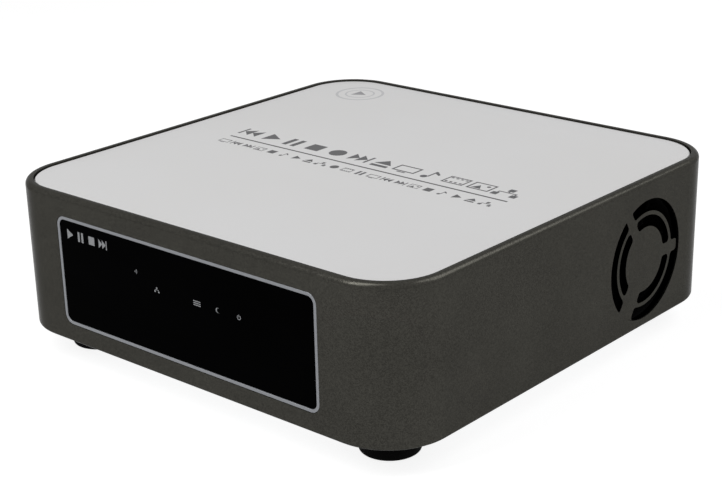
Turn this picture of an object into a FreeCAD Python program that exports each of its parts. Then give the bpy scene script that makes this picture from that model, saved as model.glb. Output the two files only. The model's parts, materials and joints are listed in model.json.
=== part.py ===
"""Network media player with a hard drive tray that slides out of the rear.

Frame: millimetres, +Z up, front towards -Y, origin on the table under the middle of the case.
"""
import FreeCAD, Part
import math
import os

Vec = FreeCAD.Vector
X_AXIS = Vec(1, 0, 0)
Y_AXIS = Vec(0, 1, 0)
Z_AXIS = Vec(0, 0, 1)
SIDES = (-1, 1)

# ---- Case: overall sizes ----
CASE_WIDTH = 200.0
CASE_DEPTH = 202.0
BAND_HEIGHT = 59.5
CORNER_RADIUS = 24.5
BAND_WALL = 3.2
TOP_EDGE_RADIUS = 2.15
BOTTOM_EDGE_RADIUS = 1.3
FOOT_HEIGHT = 10.5
BOSS_HOLE_DEPTH = 10.0

# ---- Clearances ----
SEAT_GAP = 0.1            # between a piece and the hole that it drops into
LOOSE_GAP = 0.3           # between pieces that only pass each other
SLIDE_GAP = 0.4           # under and beside the tray
SHAFT_GAP = 0.03          # radial, a shaft in its bearing
PIVOT_GAP = 0.05          # radial, a pin in a moving eye
ROUND_END_TRIM = 0.01     # leaves a short flat at the end of a round-ended slot
LEVEL_TOLERANCE = 1e-4    # for picking the edges of one face

# ---- Top panel and its ledge ----
PANEL_GAP = 0.5
PANEL_RECESS = 0.6
PANEL_THICKNESS = 2.0
PANEL_CHAMFER = 0.3
TAPE_THICKNESS = 0.25
TAPE_WIDTH = 4.0
LEDGE_THICKNESS = 2.0
LEDGE_WIDTH = 6.0

# ---- Base plate, its screws and the feet ----
BASE_RECESS = 0.6
BASE_THICKNESS = 1.5
BASE_SCREW_REACH = 7.0    # past the base plate, into a boss
BOSS_RADIUS = 3.4
BOSS_INSET = 13.0
FOOT_INSET = 24.0
FOOT_TOP_RADIUS = 12.0
FOOT_BOTTOM_RADIUS = 11.0
FOOT_EDGE_RADIUS = 1.2
FOOT_BORE_RADIUS = 4.5
FOOT_BORE_DEPTH = 5.5
FOOT_SCREW_PROUD = 2.6    # past the base plate
NUT_RADIUS = 3.0          # to its corners
NUT_HEIGHT = 2.2
VENT_LENGTH = 34.0
VENT_WIDTH = 2.6
VENT_PITCH = 6.0
VENT_COUNT = 9
VENT_BANKS = (-32.0, 28.0)

# ---- Screws (outer thread radius, head radius, head height) ----
SCREW_RADIUS = 1.5
SCREW_HEAD_RADIUS = 2.8
SCREW_HEAD_HEIGHT = 1.8
DRIVE_SLOT = 0.55         # half width of the cross cut in a head
CROSS_REACH = 0.6         # of the head's radius
CROSS_DEPTH = 0.6         # of the head's height
SMALL_SCREW_RADIUS = 1.0
SMALL_HEAD_RADIUS = 1.9
SMALL_HEAD_HEIGHT = 1.0

# ---- Front window ----
WINDOW_OFFSET = -0.5      # sideways from the middle of the front
WINDOW_HEIGHT = 44.0
WINDOW_WIDTH = 132.2
WINDOW_RISE = 7.5         # from the bottom of the band
WINDOW_RADIUS = 4.1
TRIM_WIDTH = 1.3
TRIM_EDGE = 0.25
TRIM_FLANGE = 1.5
TRIM_FLANGE_THICKNESS = 0.8
TRIM_LEDGE = 1.0
PANE_RECESS = 0.35
PANE_THICKNESS = 2.0

# ---- Display board behind the window ----
DISPLAY_GAP = 6.8         # from the front wall to the board
DISPLAY_HEIGHT = 20.0
DISPLAY_RISE = 38.0       # from the bottom of the band to the middle of the board
DISPLAY_THICKNESS = 1.6
DISPLAY_BOSS_RADIUS = 2.4
DISPLAY_MARGIN = 3.2      # from a screw to the end of the board
DISPLAY_CORNER = 1.5
DISPLAY_HOLE_DEPTH = 5.0
DISPLAY_SCREW_REACH = 4.0
LAMP_RISE = 34.3          # from the bottom of the band
LAMP_PLACES = (-12.9, 7.9, 18.3, 28.7)
LAMP_WIDTH = 3.0
LAMP_HEIGHT = 1.6
LAMP_DEPTH = 1.5
WELL_WIDTH = 6.4
WELL_HEIGHT = 3.0
SHROUD_MARGIN = 2.0
RECEIVER_X = -23.7
RECEIVER_RISE = 38.7
RECEIVER_SIZE = (6.0, 3.4, 7.0)
RECEIVER_DOME = 2.2
RECEIVER_DOME_RISE = 1.0
RIBBON_X = -54.0
RIBBON_WIDTH = 12.0
RIBBON_THICKNESS = 0.3
RIBBON_BEND = 4.0
RIBBON_DROP = 3.0         # end below the middle of the display board
RIBBON_RISE = 1.0         # over the main board
RIBBON_LANDING = 4.0      # reach over the main board
RIBBON_PLUG_MARGIN = 1.0
UPPER_PLUG = (2.4, 4.5)   # depth, height
LOWER_PLUG = (5.0, 2.6)

# ---- Fan and its grille in the right wall ----
FAN_Y = 46.6
FAN_RISE = 27.65          # from the bottom of the band
GRILLE_RECESS = 0.6
GRILLE_BACK_GAP = 0.4     # between the grille and the fan's frame
GRILLE_SCREW_GAP = 0.28   # between the grille's seat and the fan's screws
GRILLE_OUTER_WIDTH = 5.0
GRILLE_RING_WIDTH = 1.5
GRILLE_INNER_WIDTH = 4.5
GRILLE_SPOKES = ((0.0, 4.8), (121.0, 4.5), (238.0, 9.4))   # angle from the rear, width
SPOKE_END_GAP = 1.0       # the rear spoke stops short of the hole's edge
SLOT_CORNER = 1.5
FAN_SIZE = 50.0
FAN_DEPTH = 10.0
FAN_HOLE_INSET = 5.0
FAN_EDGE = 1.0            # from the side of the frame to its bore
FAN_FLANGE = 2.4
FAN_SHROUD_WALL = 0.8
FAN_CORNER = 3.0
FAN_SEAT_THICKNESS = 1.5
FAN_SEAT_RADIUS = 12.5
STRUT_WIDTH = 2.6
ROTOR_HUB_RADIUS = 12.5
ROTOR_HUB_WALL = 1.0
ROTOR_DEPTH = 7.4
ROTOR_TIP_GAP = 0.7
ROTOR_AXIAL_GAP = 0.5
HUB_EDGE_RADIUS = 0.8
HUB_FLOOR = 1.4
SHAFT_SEAT = 0.6          # the shaft starts this far into the hub's floor
SHAFT_END_GAP = 0.4
MAGNET_RISE = 2.6         # from the rotor's inner face
MAGNET_END_GAP = 0.4
BLADE_COUNT = 7
BLADE_THICKNESS = 0.9
BLADE_CHORD = 11.0
BLADE_PITCH = 38.0
MAGNET_WALL = 1.1
STATOR_RADIUS = 9.4
STATOR_DEPTH = 3.6
STATOR_POLE_LENGTH = 3.0
STATOR_ARM_WIDTH = 4.8
STATOR_ARM_COUNT = 4
BEARING_RADIUS = 2.6
BEARING_WALL_RADIUS = 3.4
BEARING_RISE = 2.4        # from the rotor's inner face
TUBE_RISE = 2.2
SHAFT_RADIUS = 1.0
FAN_PILOT_DEPTH = 2.0
WIRE_RADIUS = 0.9
WIRE_BEND = 3.0
WIRE_OFFSET = 9.0         # in front of the fan's middle
WIRE_RISE = 8.0
WIRE_PLUG_INSET = 3.5
WIRE_PLUG = (6.0, 8.0, 3.0)

# ---- Main board and what stands on it ----
STANDOFF_HEIGHT = 4.4
STANDOFF_RADIUS = 2.9
BOARD_WIDTH = 160.0
BOARD_LEAD = 2.9          # the board reaches this far in front of the cage
BOARD_THICKNESS = 1.6
BOARD_REAR_GAP = 0.5
POST_RADIUS = 3.0
POST_FRONT_INSET = 15.1   # from the cage's front
POST_REAR_INSET = 35.0    # from the cage's rear
STANDOFF_EDGE = 5.0       # plain standoffs, from the board's side
STANDOFF_FRONT_INSET = 12.0
STANDOFF_REAR_INSET = 27.5
BOARD_SCREW_REACH = 3.4
SINK_SIZE = 40.0
SINK_X = 5.0
SINK_Y = 20.0
SINK_BASE = 3.0
SINK_FIN_HEIGHT = 9.0
SINK_FIN_COUNT = 9
SINK_FIN_THICKNESS = 1.2
CHIP_SIZE = 27.0
CHIP_HEIGHT = 1.5
MEMORY_X = -34.0
MEMORY_YS = (-4.0, 10.0, 24.0, 38.0)
MEMORY_SIZE = (18.0, 11.0, 1.1)
CAPACITOR_RADIUS = 4.0
CAPACITOR_HEIGHT = 11.0
CAPACITOR_EDGE = 0.5
CAPACITOR_PLACES = ((62.0, 52.0), (62.0, 41.0), (62.0, 30.0), (52.0, 30.0), (52.0, 19.0))
COIL_SIZE = 10.0
COIL_HEIGHT = 4.5
COIL_CORNER = 2.0
COIL_PLACES = ((66.0, 12.0), (66.0, -4.0))
BATTERY_PLACE = (-42.0, -34.0)
BATTERY_RADIUS = 10.0
BATTERY_HEIGHT = 3.2
BATTERY_EDGE = 0.4

# ---- Rear panel ----
REAR_OPENING_WIDTH = 132.0
REAR_OPENING_RISE = 5.0   # from the bottom of the band
REAR_LEDGE_GAP = 0.6      # from the ledge to the face of the rear panel
REAR_THICKNESS = 1.2
REAR_EAR_WIDTH = 8.0
REAR_EAR_CUT = 5.0
REAR_SCREW_RISES = (11.5, 47.5)
COUNTERSINK_RADIUS = 2.9
COUNTERSINK_DEPTH = 1.5
REAR_SCREW_PROUD = 1.0    # past the ear behind the band

# ---- Sockets in the rear panel (place across, then sizes) ----
SOCKET_PROUD = 0.5
NETWORK_X = 40.0
NETWORK_SIZE = (16.0, 18.0, 13.4)
NETWORK_MOUTH = (11.8, 12.0, 8.0)
NETWORK_RISE = 6.2        # middle of the mouth over the board
NETWORK_KEY = (6.4, 2.0)
DATA_X = 21.0
DATA_SIZE = (14.4, 17.0, 15.6)
DATA_MOUTH = (12.6, 10.0, 5.2)
DATA_TONGUE = (10.4, 8.6, 1.8)
DATA_TONGUE_DROP = 0.6
DATA_PITCH = 7.6
VIDEO_X = 2.0
VIDEO_SIZE = (15.4, 12.0, 6.2)
VIDEO_MOUTH = (14.2, 9.0, 4.8)
VIDEO_TONGUE = (9.6, 7.6, 1.4)
VIDEO_SLANT = 1.6
OPTIC_X = -14.5
OPTIC_SIZE = (9.8, 13.0, 10.4)
OPTIC_MOUTH = (6.2, 6.5, 6.2)
OPTIC_LENS_RADIUS = 1.2
OPTIC_LENS_LENGTH = 2.0
JACK_PLACES = (-29.0, -41.5, -54.0)
JACK_HOUSING = (10.8, 12.0, 13.0)
JACK_HEIGHT = 7.4
JACK_SHELL_RADIUS = 4.15
JACK_SHELL_WALL = 0.4
JACK_LENGTH = 8.3
JACK_CORE_RADIUS = 3.0
JACK_CORE_SETBACK = 0.6
JACK_BORE_RADIUS = 1.65
JACK_BORE_BEHIND = 4.0    # behind the panel
INLET_X = 57.5
INLET_SIZE = (9.4, 14.0, 11.4)
INLET_HEIGHT = 6.4
INLET_BORE_RADIUS = 3.15
INLET_BORE_DEPTH = 9.5
INLET_NOSE_WALL = 0.6
INLET_NOSE_GAP = 0.2
INLET_PIN_RADIUS = 1.0
INLET_PIN_SETBACK = 1.5

# ---- Power rocker and reset button, above the power inlet ----
ROCKER_X = 55.6
ROCKER_Z = 52.4
ROCKER_FLANGE = (15.0, 1.5, 21.0)
ROCKER_FLANGE_CORNER = 1.5
ROCKER_FLANGE_EDGE = 0.5
ROCKER_BODY = (12.6, 14.0, 18.6)
ROCKER_WALL = 1.0
ROCKER_PADDLE = (10.0, 5.4, 15.2)
ROCKER_DISH = 1.1
ROCKER_TILT = 8.0
ROCKER_PIVOT_BACK = 1.2   # pivot behind the face of the flange
ROCKER_TRUNNION = 1.2
RESET_Z = 37.4
RESET_SLEEVE = (7.0, 6.0, 7.0)
RESET_RADIUS = 2.0
RESET_STEM_RADIUS = 1.3
RESET_PROUD = 1.7
RESET_TRAVEL = 0.8
RESET_SEAT_DEPTH = 2.0
RESET_FLOOR = 1.0         # behind the stem's bore
RESET_EDGE = 0.5

# ---- Drive, tray and cage ----
DRIVE_WIDTH = 101.6
DRIVE_LENGTH = 147.0
DRIVE_HEIGHT = 26.1
DRIVE_HEADROOM = 0.95
DRIVE_REAR_GAP = 2.5      # from the panel's inner face to the drive's rear end
DRIVE_COVER_THICKNESS = 1.4
DRIVE_COVER_INSET = 2.4
DRIVE_EDGE = 1.5
DRIVE_BOARD_THICKNESS = 1.2
DRIVE_BOARD_INSET = 4.8   # from the drive's sides
DRIVE_BOARD_LENGTH = 58.0
DRIVE_BOARD_GAP = 2.0     # behind the plug's notch
DRIVE_COVER_SHEET = 0.8
DRIVE_COVER_CORNER = 4.0
SPINDLE_ROUND_SHARE = 0.4  # of the drive's width
ARM_ROUND_RADIUS = 11.0
ARM_ROUND_PLACE = (24.0, 32.0)
DRIVE_HOLE_DEPTH = 4.0
DRIVE_SCREW_LENGTH = 4.6
DRIVE_POCKET_ENDS = (48.0, 112.0)    # along its side, from the plug end
DRIVE_POCKET_LEVELS = (12.0, 18.0)
DRIVE_POCKET_DEPTH = 2.0
DRIVE_SCREW_HEIGHT = 6.35
DRIVE_SCREW_PLACES = (28.5, 130.1)   # from the drive's plug end
PLUG_OFFSET = 12.0
PLUG_NOTCH = (44.0, 6.0, 6.4)
PLUG_BASE = (42.0, 1.4, 5.0)
PLUG_TONGUE = (36.0, 4.2, 1.2)
PLUG_HEIGHT = 3.5
NOTCH_MARGIN = 1.0        # of the cut in the sled round the plug
TRAY_X = -10.5
TRAY_SHEET = 1.2
TRAY_SIDE_GAP = 0.2
TRAY_WALL_HEIGHT = 14.0
TRAY_SCREW_HEAD = 0.7
SLED_LEAD = 1.0           # in front of the drive's plug end
SLED_SLOT = (60.0, 18.0, 6.0)        # width, length, corner
SLED_SLOT_COUNT = 4
SLED_SLOT_PITCH = 31.7
SLED_SLOT_MIDDLE = 16.0
TRAY_MOUTH_GAP = 0.5
BEZEL_OVERLAP = 2.0
BEZEL_THICKNESS = 2.8
BEZEL_CHAMFER = 0.6
BEZEL_CORNER = 1.5
BEZEL_SLOT = (2.4, 12.0)
BEZEL_SLOT_PITCH = 5.0
BEZEL_SLOT_COUNT = 5      # each side
BEZEL_SLOT_START = 8.0    # outside the handle's arm
BEZEL_SLOT_RISE = 2.0
BEZEL_TAB_WIDTH = 10.0
BEZEL_TAB_HEIGHT = 8.0
BEZEL_HOLE_DEPTH = 1.7
BEZEL_SCREW_REACH = 1.4
BEZEL_SCREW_INSET = 6.0
HANDLE_SPAN = 40.0        # between the middles of its arms
HANDLE_REACH = 15.0
HANDLE_SECTION = 1.5      # radius of its bar
HANDLE_BEND = 3.0
HANDLE_DROP = 6.4         # pivot below the bezel's top
HANDLE_STANDOFF = 2.3     # pivot in front of the bezel
HANDLE_EYE_WIDTH = 3.2
HANDLE_EYE_RADIUS = 1.9
EAR_THICKNESS = 2.0
EAR_RADIUS = 2.0
EAR_ROOT = 0.5
PIN_RADIUS = 0.8
CAGE_SHEET = 1.0
CAGE_FLANGE = 10.0
CAGE_LIP = 3.0
CAGE_LIP_GAP = 0.35
CAGE_SLOT = (60.0, 6.0)
CAGE_SLOT_PITCH = 22.0
CAGE_SLOT_COUNT = 5
CAGE_SLOT_MIDDLE = 10.0
CAGE_FLANGE_LENGTH = 12.0
CAGE_FRONT_RISE = 8.0     # front wall above the plug's middle
CAGE_SCREW_REACH = 4.5
POST_STUD_REACH = 3.0
POST_HOLE_DEPTH = 6.0
CAGE_FRONT_GAP = 8.6      # from the drive's plug end to the cage's front wall
RISER_WIDTH = 64.0
RISER_THICKNESS = 1.6
RISER_TOP = 50.0
RISER_SEAT = 1.5          # floor of the riser's slot
RISER_SLOT_SIZE = (68.0, 6.0, 6.5)
SOCKET_SIZE = (41.0, 4.4)
SOCKET_TIP_GAP = 0.4
SOCKET_SLOT_GAP = 0.35

# ---- Levels and planes worked out from the sizes above ----
BAND_BOTTOM = FOOT_HEIGHT
BAND_TOP = BAND_BOTTOM + BAND_HEIGHT
HALF_WIDTH = CASE_WIDTH / 2
HALF_DEPTH = CASE_DEPTH / 2
PANEL_TOP = BAND_TOP - PANEL_RECESS
PANEL_UNDER = PANEL_TOP - PANEL_THICKNESS
LEDGE_TOP = PANEL_UNDER - TAPE_THICKNESS
LEDGE_UNDER = LEDGE_TOP - LEDGE_THICKNESS
BASE_UNDER = BAND_BOTTOM + BASE_RECESS
BASE_TOP = BASE_UNDER + BASE_THICKNESS
BOARD_UNDER = BASE_TOP + STANDOFF_HEIGHT
BOARD_TOP = BOARD_UNDER + BOARD_THICKNESS
FRONT_FACE = -HALF_DEPTH
FRONT_INSIDE = FRONT_FACE + BAND_WALL
REAR_FACE = HALF_DEPTH
REAR_INSIDE = REAR_FACE - BAND_WALL
RIGHT_INSIDE = HALF_WIDTH - BAND_WALL
WINDOW_Z = BAND_BOTTOM + WINDOW_RISE + WINDOW_HEIGHT / 2
PANE_FRONT = FRONT_FACE + PANE_RECESS
PANE_BACK = PANE_FRONT + PANE_THICKNESS
DISPLAY_FRONT = FRONT_INSIDE + DISPLAY_GAP
DISPLAY_BACK = DISPLAY_FRONT + DISPLAY_THICKNESS
DISPLAY_Z = BAND_BOTTOM + DISPLAY_RISE
DISPLAY_BOSS_X = WINDOW_WIDTH / 2 + abs(WINDOW_OFFSET) + TRIM_FLANGE + LOOSE_GAP + DISPLAY_BOSS_RADIUS
DISPLAY_WIDTH = 2 * (DISPLAY_BOSS_X + DISPLAY_MARGIN)
LAMP_Z = BAND_BOTTOM + LAMP_RISE
RECEIVER_Z = BAND_BOTTOM + RECEIVER_RISE
FAN_Z = BAND_BOTTOM + FAN_RISE
GRILLE_FACE = HALF_WIDTH - GRILLE_RECESS
GRILLE_THICKNESS = BAND_WALL - GRILLE_RECESS - GRILLE_BACK_GAP
FAN_BORE = FAN_SIZE / 2 - FAN_EDGE
FAN_HOLE_SPACING = FAN_SIZE - 2 * FAN_HOLE_INSET
GRILLE_HOLE_RADIUS = FAN_BORE
GRILLE_RADIUS = FAN_HOLE_SPACING / math.sqrt(2) - SCREW_RADIUS - GRILLE_SCREW_GAP
GRILLE_OUTER_SLOT = GRILLE_HOLE_RADIUS - GRILLE_OUTER_WIDTH
GRILLE_INNER_SLOT = GRILLE_OUTER_SLOT - GRILLE_RING_WIDTH
GRILLE_HUB_RADIUS = GRILLE_INNER_SLOT - GRILLE_INNER_WIDTH
FAN_INNER = RIGHT_INSIDE - FAN_DEPTH
ROTOR_OUTER = FAN_DEPTH - FAN_SEAT_THICKNESS - ROTOR_AXIAL_GAP
ROTOR_INNER = ROTOR_OUTER - ROTOR_DEPTH
PANEL_FACE = REAR_INSIDE - LEDGE_WIDTH - REAR_LEDGE_GAP
PANEL_BACK = PANEL_FACE - REAR_THICKNESS
REAR_OPENING_BOTTOM = BAND_BOTTOM + REAR_OPENING_RISE
BOARD_REAR = PANEL_BACK - BOARD_REAR_GAP
DRIVE_TOP = LEDGE_UNDER - DRIVE_HEADROOM
DRIVE_BOTTOM = DRIVE_TOP - DRIVE_HEIGHT
DRIVE_REAR = PANEL_BACK - DRIVE_REAR_GAP
DRIVE_FRONT = DRIVE_REAR - DRIVE_LENGTH
SLED_BOTTOM = DRIVE_BOTTOM - TRAY_SHEET
SLED_HALF = DRIVE_WIDTH / 2 + TRAY_SIDE_GAP + TRAY_SHEET
CAGE_FLOOR_TOP = SLED_BOTTOM - SLIDE_GAP
CAGE_BOTTOM = CAGE_FLOOR_TOP - CAGE_SHEET
CAGE_HALF = SLED_HALF + SLIDE_GAP + CAGE_SHEET
CAGE_FRONT = DRIVE_FRONT - CAGE_FRONT_GAP - CAGE_SHEET
CAGE_LIP_UNDER = DRIVE_TOP + CAGE_LIP_GAP
BOARD_FRONT = CAGE_FRONT - BOARD_LEAD
MOUTH_HALF = SLED_HALF + TRAY_MOUTH_GAP
MOUTH_TOP = DRIVE_TOP + TRAY_MOUTH_GAP
MOUTH_BOTTOM = SLED_BOTTOM - TRAY_MOUTH_GAP
BEZEL_FRONT = PANEL_FACE + LOOSE_GAP
BEZEL_FACE = BEZEL_FRONT + BEZEL_THICKNESS
BEZEL_TOP = LEDGE_UNDER - LOOSE_GAP
BEZEL_BOTTOM = MOUTH_BOTTOM - BEZEL_OVERLAP / 2
BEZEL_HALF = MOUTH_HALF + BEZEL_OVERLAP
PIVOT_Y = BEZEL_FACE + HANDLE_STANDOFF
PIVOT_Z = BEZEL_TOP - HANDLE_DROP
PLUG_X = TRAY_X + PLUG_OFFSET
PLUG_Z = DRIVE_BOTTOM + PLUG_HEIGHT
ROCKER_PIVOT_Y = PANEL_FACE + ROCKER_FLANGE[1] - ROCKER_PIVOT_BACK
CORNER_PLACES = [
    (sx * (HALF_WIDTH - BOSS_INSET), sy * (HALF_DEPTH - BOSS_INSET)) for sx in SIDES for sy in SIDES
]
FOOT_PLACES = [
    (sx * (HALF_WIDTH - FOOT_INSET), sy * (HALF_DEPTH - FOOT_INSET)) for sx in SIDES for sy in SIDES
]
POST_ROWS = (CAGE_FRONT + POST_FRONT_INSET, PANEL_BACK - POST_REAR_INSET)
POST_PLACES = [(TRAY_X + sx * (CAGE_HALF + CAGE_FLANGE / 2), y) for sx in SIDES for y in POST_ROWS]
PLAIN_STANDOFF_PLACES = [
    (BOARD_WIDTH / 2 - STANDOFF_EDGE, y)
    for y in (BOARD_FRONT + STANDOFF_FRONT_INSET, BOARD_REAR - STANDOFF_REAR_INSET)
]


# ---- Simple shapes ----
def block(low, high):
    """Box between two opposite corners."""
    size = [b - a for a, b in zip(low, high)]
    return Part.makeBox(*size, Vec(*low))


def centred_block(x, half_width, y_low, y_high, z_low, z_high):
    return block((x - half_width, y_low, z_low), (x + half_width, y_high, z_high))


def rod(radius, start, direction, length):
    return Part.makeCylinder(radius, length, Vec(*start), direction)


def rounded_outline(width, depth, radius):
    """Rectangle with round corners in the XY plane, about the origin."""
    arcs = []
    for quarter in range(4):
        angle = 90.0 * quarter
        sx = 1 if quarter in (0, 3) else -1
        sy = 1 if quarter in (0, 1) else -1
        centre = Vec(sx * (width / 2 - radius), sy * (depth / 2 - radius), 0)
        arcs.append(Part.makeCircle(radius, centre, Z_AXIS, angle, angle + 90.0))
    edges = []
    for arc, following in zip(arcs, arcs[1:] + arcs[:1]):
        edges.append(arc)
        start = arc.valueAt(arc.LastParameter)
        edges.append(Part.makeLine(start, following.valueAt(following.FirstParameter)))
    return Part.Wire(edges)


def rounded_slab(width, depth, radius, z_low, z_high, x=0.0, y=0.0):
    """Upright slab with round vertical edges."""
    slab = Part.Face(rounded_outline(width, depth, radius)).extrude(Vec(0, 0, z_high - z_low))
    slab.translate(Vec(x, y, z_low))
    return slab


def wall_slab(width, height, radius, x, z, y_low, y_high):
    """Slab whose rounded outline faces the front, from y_low to y_high."""
    slab = rounded_slab(width, height, radius, 0.0, y_high - y_low)
    slab.rotate(Vec(0, 0, 0), X_AXIS, 90)
    slab.translate(Vec(x, y_high, z))
    return slab


def to_fan_axis(shape):
    """Turns a shape drawn about +Z so that it lies about +X, at the fan's middle."""
    shape.rotate(Vec(0, 0, 0), Vec(1, 1, 1), 120)
    shape.translate(Vec(FAN_INNER, FAN_Y, FAN_Z))
    return shape


def cross_cut(radius, depth):
    """Cross-shaped cut for a driver, from z = 0 downwards."""
    arm = block((-radius, -DRIVE_SLOT, -depth), (radius, DRIVE_SLOT, 0))
    other = block((-DRIVE_SLOT, -radius, -depth), (DRIVE_SLOT, radius, 0))
    return arm.fuse(other)


def pan_screw(radius, head_radius, head_height, length):
    """Screw with its head's seat at z = 0, head up, shank down."""
    head = Part.makeCylinder(head_radius, head_height)
    head = head.makeFillet(head_height / 2, edges_at_height(head, head_height))
    shank = rod(radius, (0, 0, -length), Z_AXIS, length)
    cut = cross_cut(head_radius * CROSS_REACH, head_height * CROSS_DEPTH)
    cut.translate(Vec(0, 0, head_height))
    return head.fuse(shank).cut(cut)


def flat_screw(radius, head_radius, head_height, length):
    """Countersunk screw with its head's flat face at z = 0, shank down."""
    head = Part.makeCone(radius, head_radius, head_height, Vec(0, 0, -head_height))
    shank = rod(radius, (0, 0, -length), Z_AXIS, length - head_height)
    return head.fuse(shank).cut(cross_cut(head_radius * CROSS_REACH, head_height * CROSS_DEPTH))


def placed(shape, position, axis=None, angle=0.0):
    """Copy of a shape turned about an axis through the origin, then moved."""
    copy = shape.copy()
    if axis is not None:
        copy.rotate(Vec(0, 0, 0), axis, angle)
    copy.translate(Vec(*position))
    return copy


def group(shapes):
    return Part.makeCompound(shapes)


def fused(shapes):
    return shapes[0].fuse(shapes[1:]).removeSplitter()


def edges_at_height(shape, z):
    """Edges that lie wholly in the level plane at z."""
    level = []
    for edge in shape.Edges:
        box = edge.BoundBox
        if max(abs(box.ZMin - z), abs(box.ZMax - z)) < LEVEL_TOLERANCE:
            level.append(edge)
    return level


def edges_in_plane_y(shape, y):
    """Edges that lie wholly in the upright plane at y."""
    upright = []
    for edge in shape.Edges:
        box = edge.BoundBox
        if max(abs(box.YMin - y), abs(box.YMax - y)) < LEVEL_TOLERANCE:
            upright.append(edge)
    return upright


# ---- Case ----
def inner_slab(inset, z_low, z_high):
    """Slab that follows the case's outline, inset all round."""
    return rounded_slab(
        CASE_WIDTH - 2 * inset, CASE_DEPTH - 2 * inset, CORNER_RADIUS - inset, z_low, z_high
    )


def body_band():
    outer = inner_slab(0.0, BAND_BOTTOM, BAND_TOP)
    outer = outer.makeFillet(TOP_EDGE_RADIUS, edges_at_height(outer, BAND_TOP))
    outer = outer.makeFillet(BOTTOM_EDGE_RADIUS, edges_at_height(outer, BAND_BOTTOM))
    band = outer.cut(inner_slab(BAND_WALL, BAND_BOTTOM, BAND_TOP))
    ledge = inner_slab(BAND_WALL, LEDGE_UNDER, LEDGE_TOP)
    ledge = ledge.cut(inner_slab(BAND_WALL + LEDGE_WIDTH, LEDGE_UNDER, LEDGE_TOP))
    bosses = [rod(BOSS_RADIUS, (x, y, BASE_TOP), Z_AXIS, LEDGE_UNDER - BASE_TOP) for x, y in CORNER_PLACES]
    window_bosses = [
        rod(DISPLAY_BOSS_RADIUS, (side * DISPLAY_BOSS_X, FRONT_INSIDE, DISPLAY_Z), Y_AXIS, DISPLAY_GAP)
        for side in SIDES
    ]
    band = band.fuse([ledge] + bosses + window_bosses)
    pilots = [rod(SCREW_RADIUS, (x, y, BASE_TOP), Z_AXIS, BOSS_HOLE_DEPTH) for x, y in CORNER_PLACES]
    for side in SIDES:
        start = (side * DISPLAY_BOSS_X, DISPLAY_FRONT - DISPLAY_HOLE_DEPTH, DISPLAY_Z)
        pilots.append(rod(SMALL_SCREW_RADIUS, start, Y_AXIS, DISPLAY_HOLE_DEPTH))
    return band.cut(pilots + [window_cut(), rear_cut()] + fan_cuts() + rear_screw_cuts()).removeSplitter()


def window_cut():
    return wall_slab(
        WINDOW_WIDTH, WINDOW_HEIGHT, WINDOW_RADIUS, WINDOW_OFFSET, WINDOW_Z, FRONT_FACE, FRONT_INSIDE
    )


def rear_cut():
    half = REAR_OPENING_WIDTH / 2
    return block((-half, REAR_INSIDE, REAR_OPENING_BOTTOM), (half, REAR_FACE, LEDGE_UNDER))


def fan_cuts():
    """Grille hole, the seat for the grille behind it, and the blind holes for the fan's screws."""
    cuts = [
        rod(GRILLE_HOLE_RADIUS, (RIGHT_INSIDE, FAN_Y, FAN_Z), X_AXIS, BAND_WALL),
        rod(GRILLE_RADIUS, (RIGHT_INSIDE, FAN_Y, FAN_Z), X_AXIS, GRILLE_FACE - RIGHT_INSIDE),
    ]
    for y, z in fan_hole_places():
        cuts.append(rod(SCREW_RADIUS, (RIGHT_INSIDE, y, z), X_AXIS, FAN_PILOT_DEPTH))
    return cuts


def fan_hole_places():
    half = FAN_HOLE_SPACING / 2
    return [(FAN_Y + sy * half, FAN_Z + sz * half) for sy in SIDES for sz in SIDES]


def rear_screw_places():
    x = REAR_OPENING_WIDTH / 2 + REAR_THICKNESS + REAR_EAR_WIDTH / 2
    return [(side * x, BAND_BOTTOM + rise) for side in SIDES for rise in REAR_SCREW_RISES]


def rear_screw_cuts():
    cuts = []
    for x, z in rear_screw_places():
        cuts.append(rod(SCREW_RADIUS, (x, REAR_INSIDE, z), Y_AXIS, BAND_WALL))
        tip = Vec(x, REAR_FACE - COUNTERSINK_DEPTH, z)
        cuts.append(Part.makeCone(SCREW_RADIUS, COUNTERSINK_RADIUS, COUNTERSINK_DEPTH, tip, Y_AXIS))
    return cuts


def top_panel():
    panel = inner_slab(BAND_WALL + PANEL_GAP, PANEL_UNDER, PANEL_TOP)
    return panel.makeChamfer(PANEL_CHAMFER, edges_at_height(panel, PANEL_TOP))


def panel_tape():
    inset = BAND_WALL + 2 * PANEL_GAP
    ring = inner_slab(inset, LEDGE_TOP, PANEL_UNDER)
    return ring.cut(inner_slab(inset + TAPE_WIDTH, LEDGE_TOP, PANEL_UNDER))


def base_plate():
    plate = inner_slab(BAND_WALL + LOOSE_GAP, BASE_UNDER, BASE_TOP)
    cuts = [
        rod(SCREW_RADIUS, (x, y, BASE_UNDER), Z_AXIS, BASE_THICKNESS)
        for x, y in CORNER_PLACES + FOOT_PLACES + POST_PLACES + PLAIN_STANDOFF_PLACES
    ]
    for x, y in CORNER_PLACES:
        cuts.append(Part.makeCone(COUNTERSINK_RADIUS, SCREW_RADIUS, BASE_THICKNESS, Vec(x, y, BASE_UNDER)))
    for bank_y in VENT_BANKS:
        for index in range(VENT_COUNT):
            x = (index - (VENT_COUNT - 1) / 2) * VENT_PITCH
            corner = VENT_WIDTH / 2 - ROUND_END_TRIM
            cuts.append(rounded_slab(VENT_WIDTH, VENT_LENGTH, corner, BASE_UNDER, BASE_TOP, x, bank_y))
    return plate.cut(cuts)


def base_screws():
    screw = flat_screw(SCREW_RADIUS, COUNTERSINK_RADIUS, BASE_THICKNESS, BASE_THICKNESS + BASE_SCREW_REACH)
    return group([placed(screw, (x, y, BASE_UNDER), X_AXIS, 180) for x, y in CORNER_PLACES])


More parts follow.
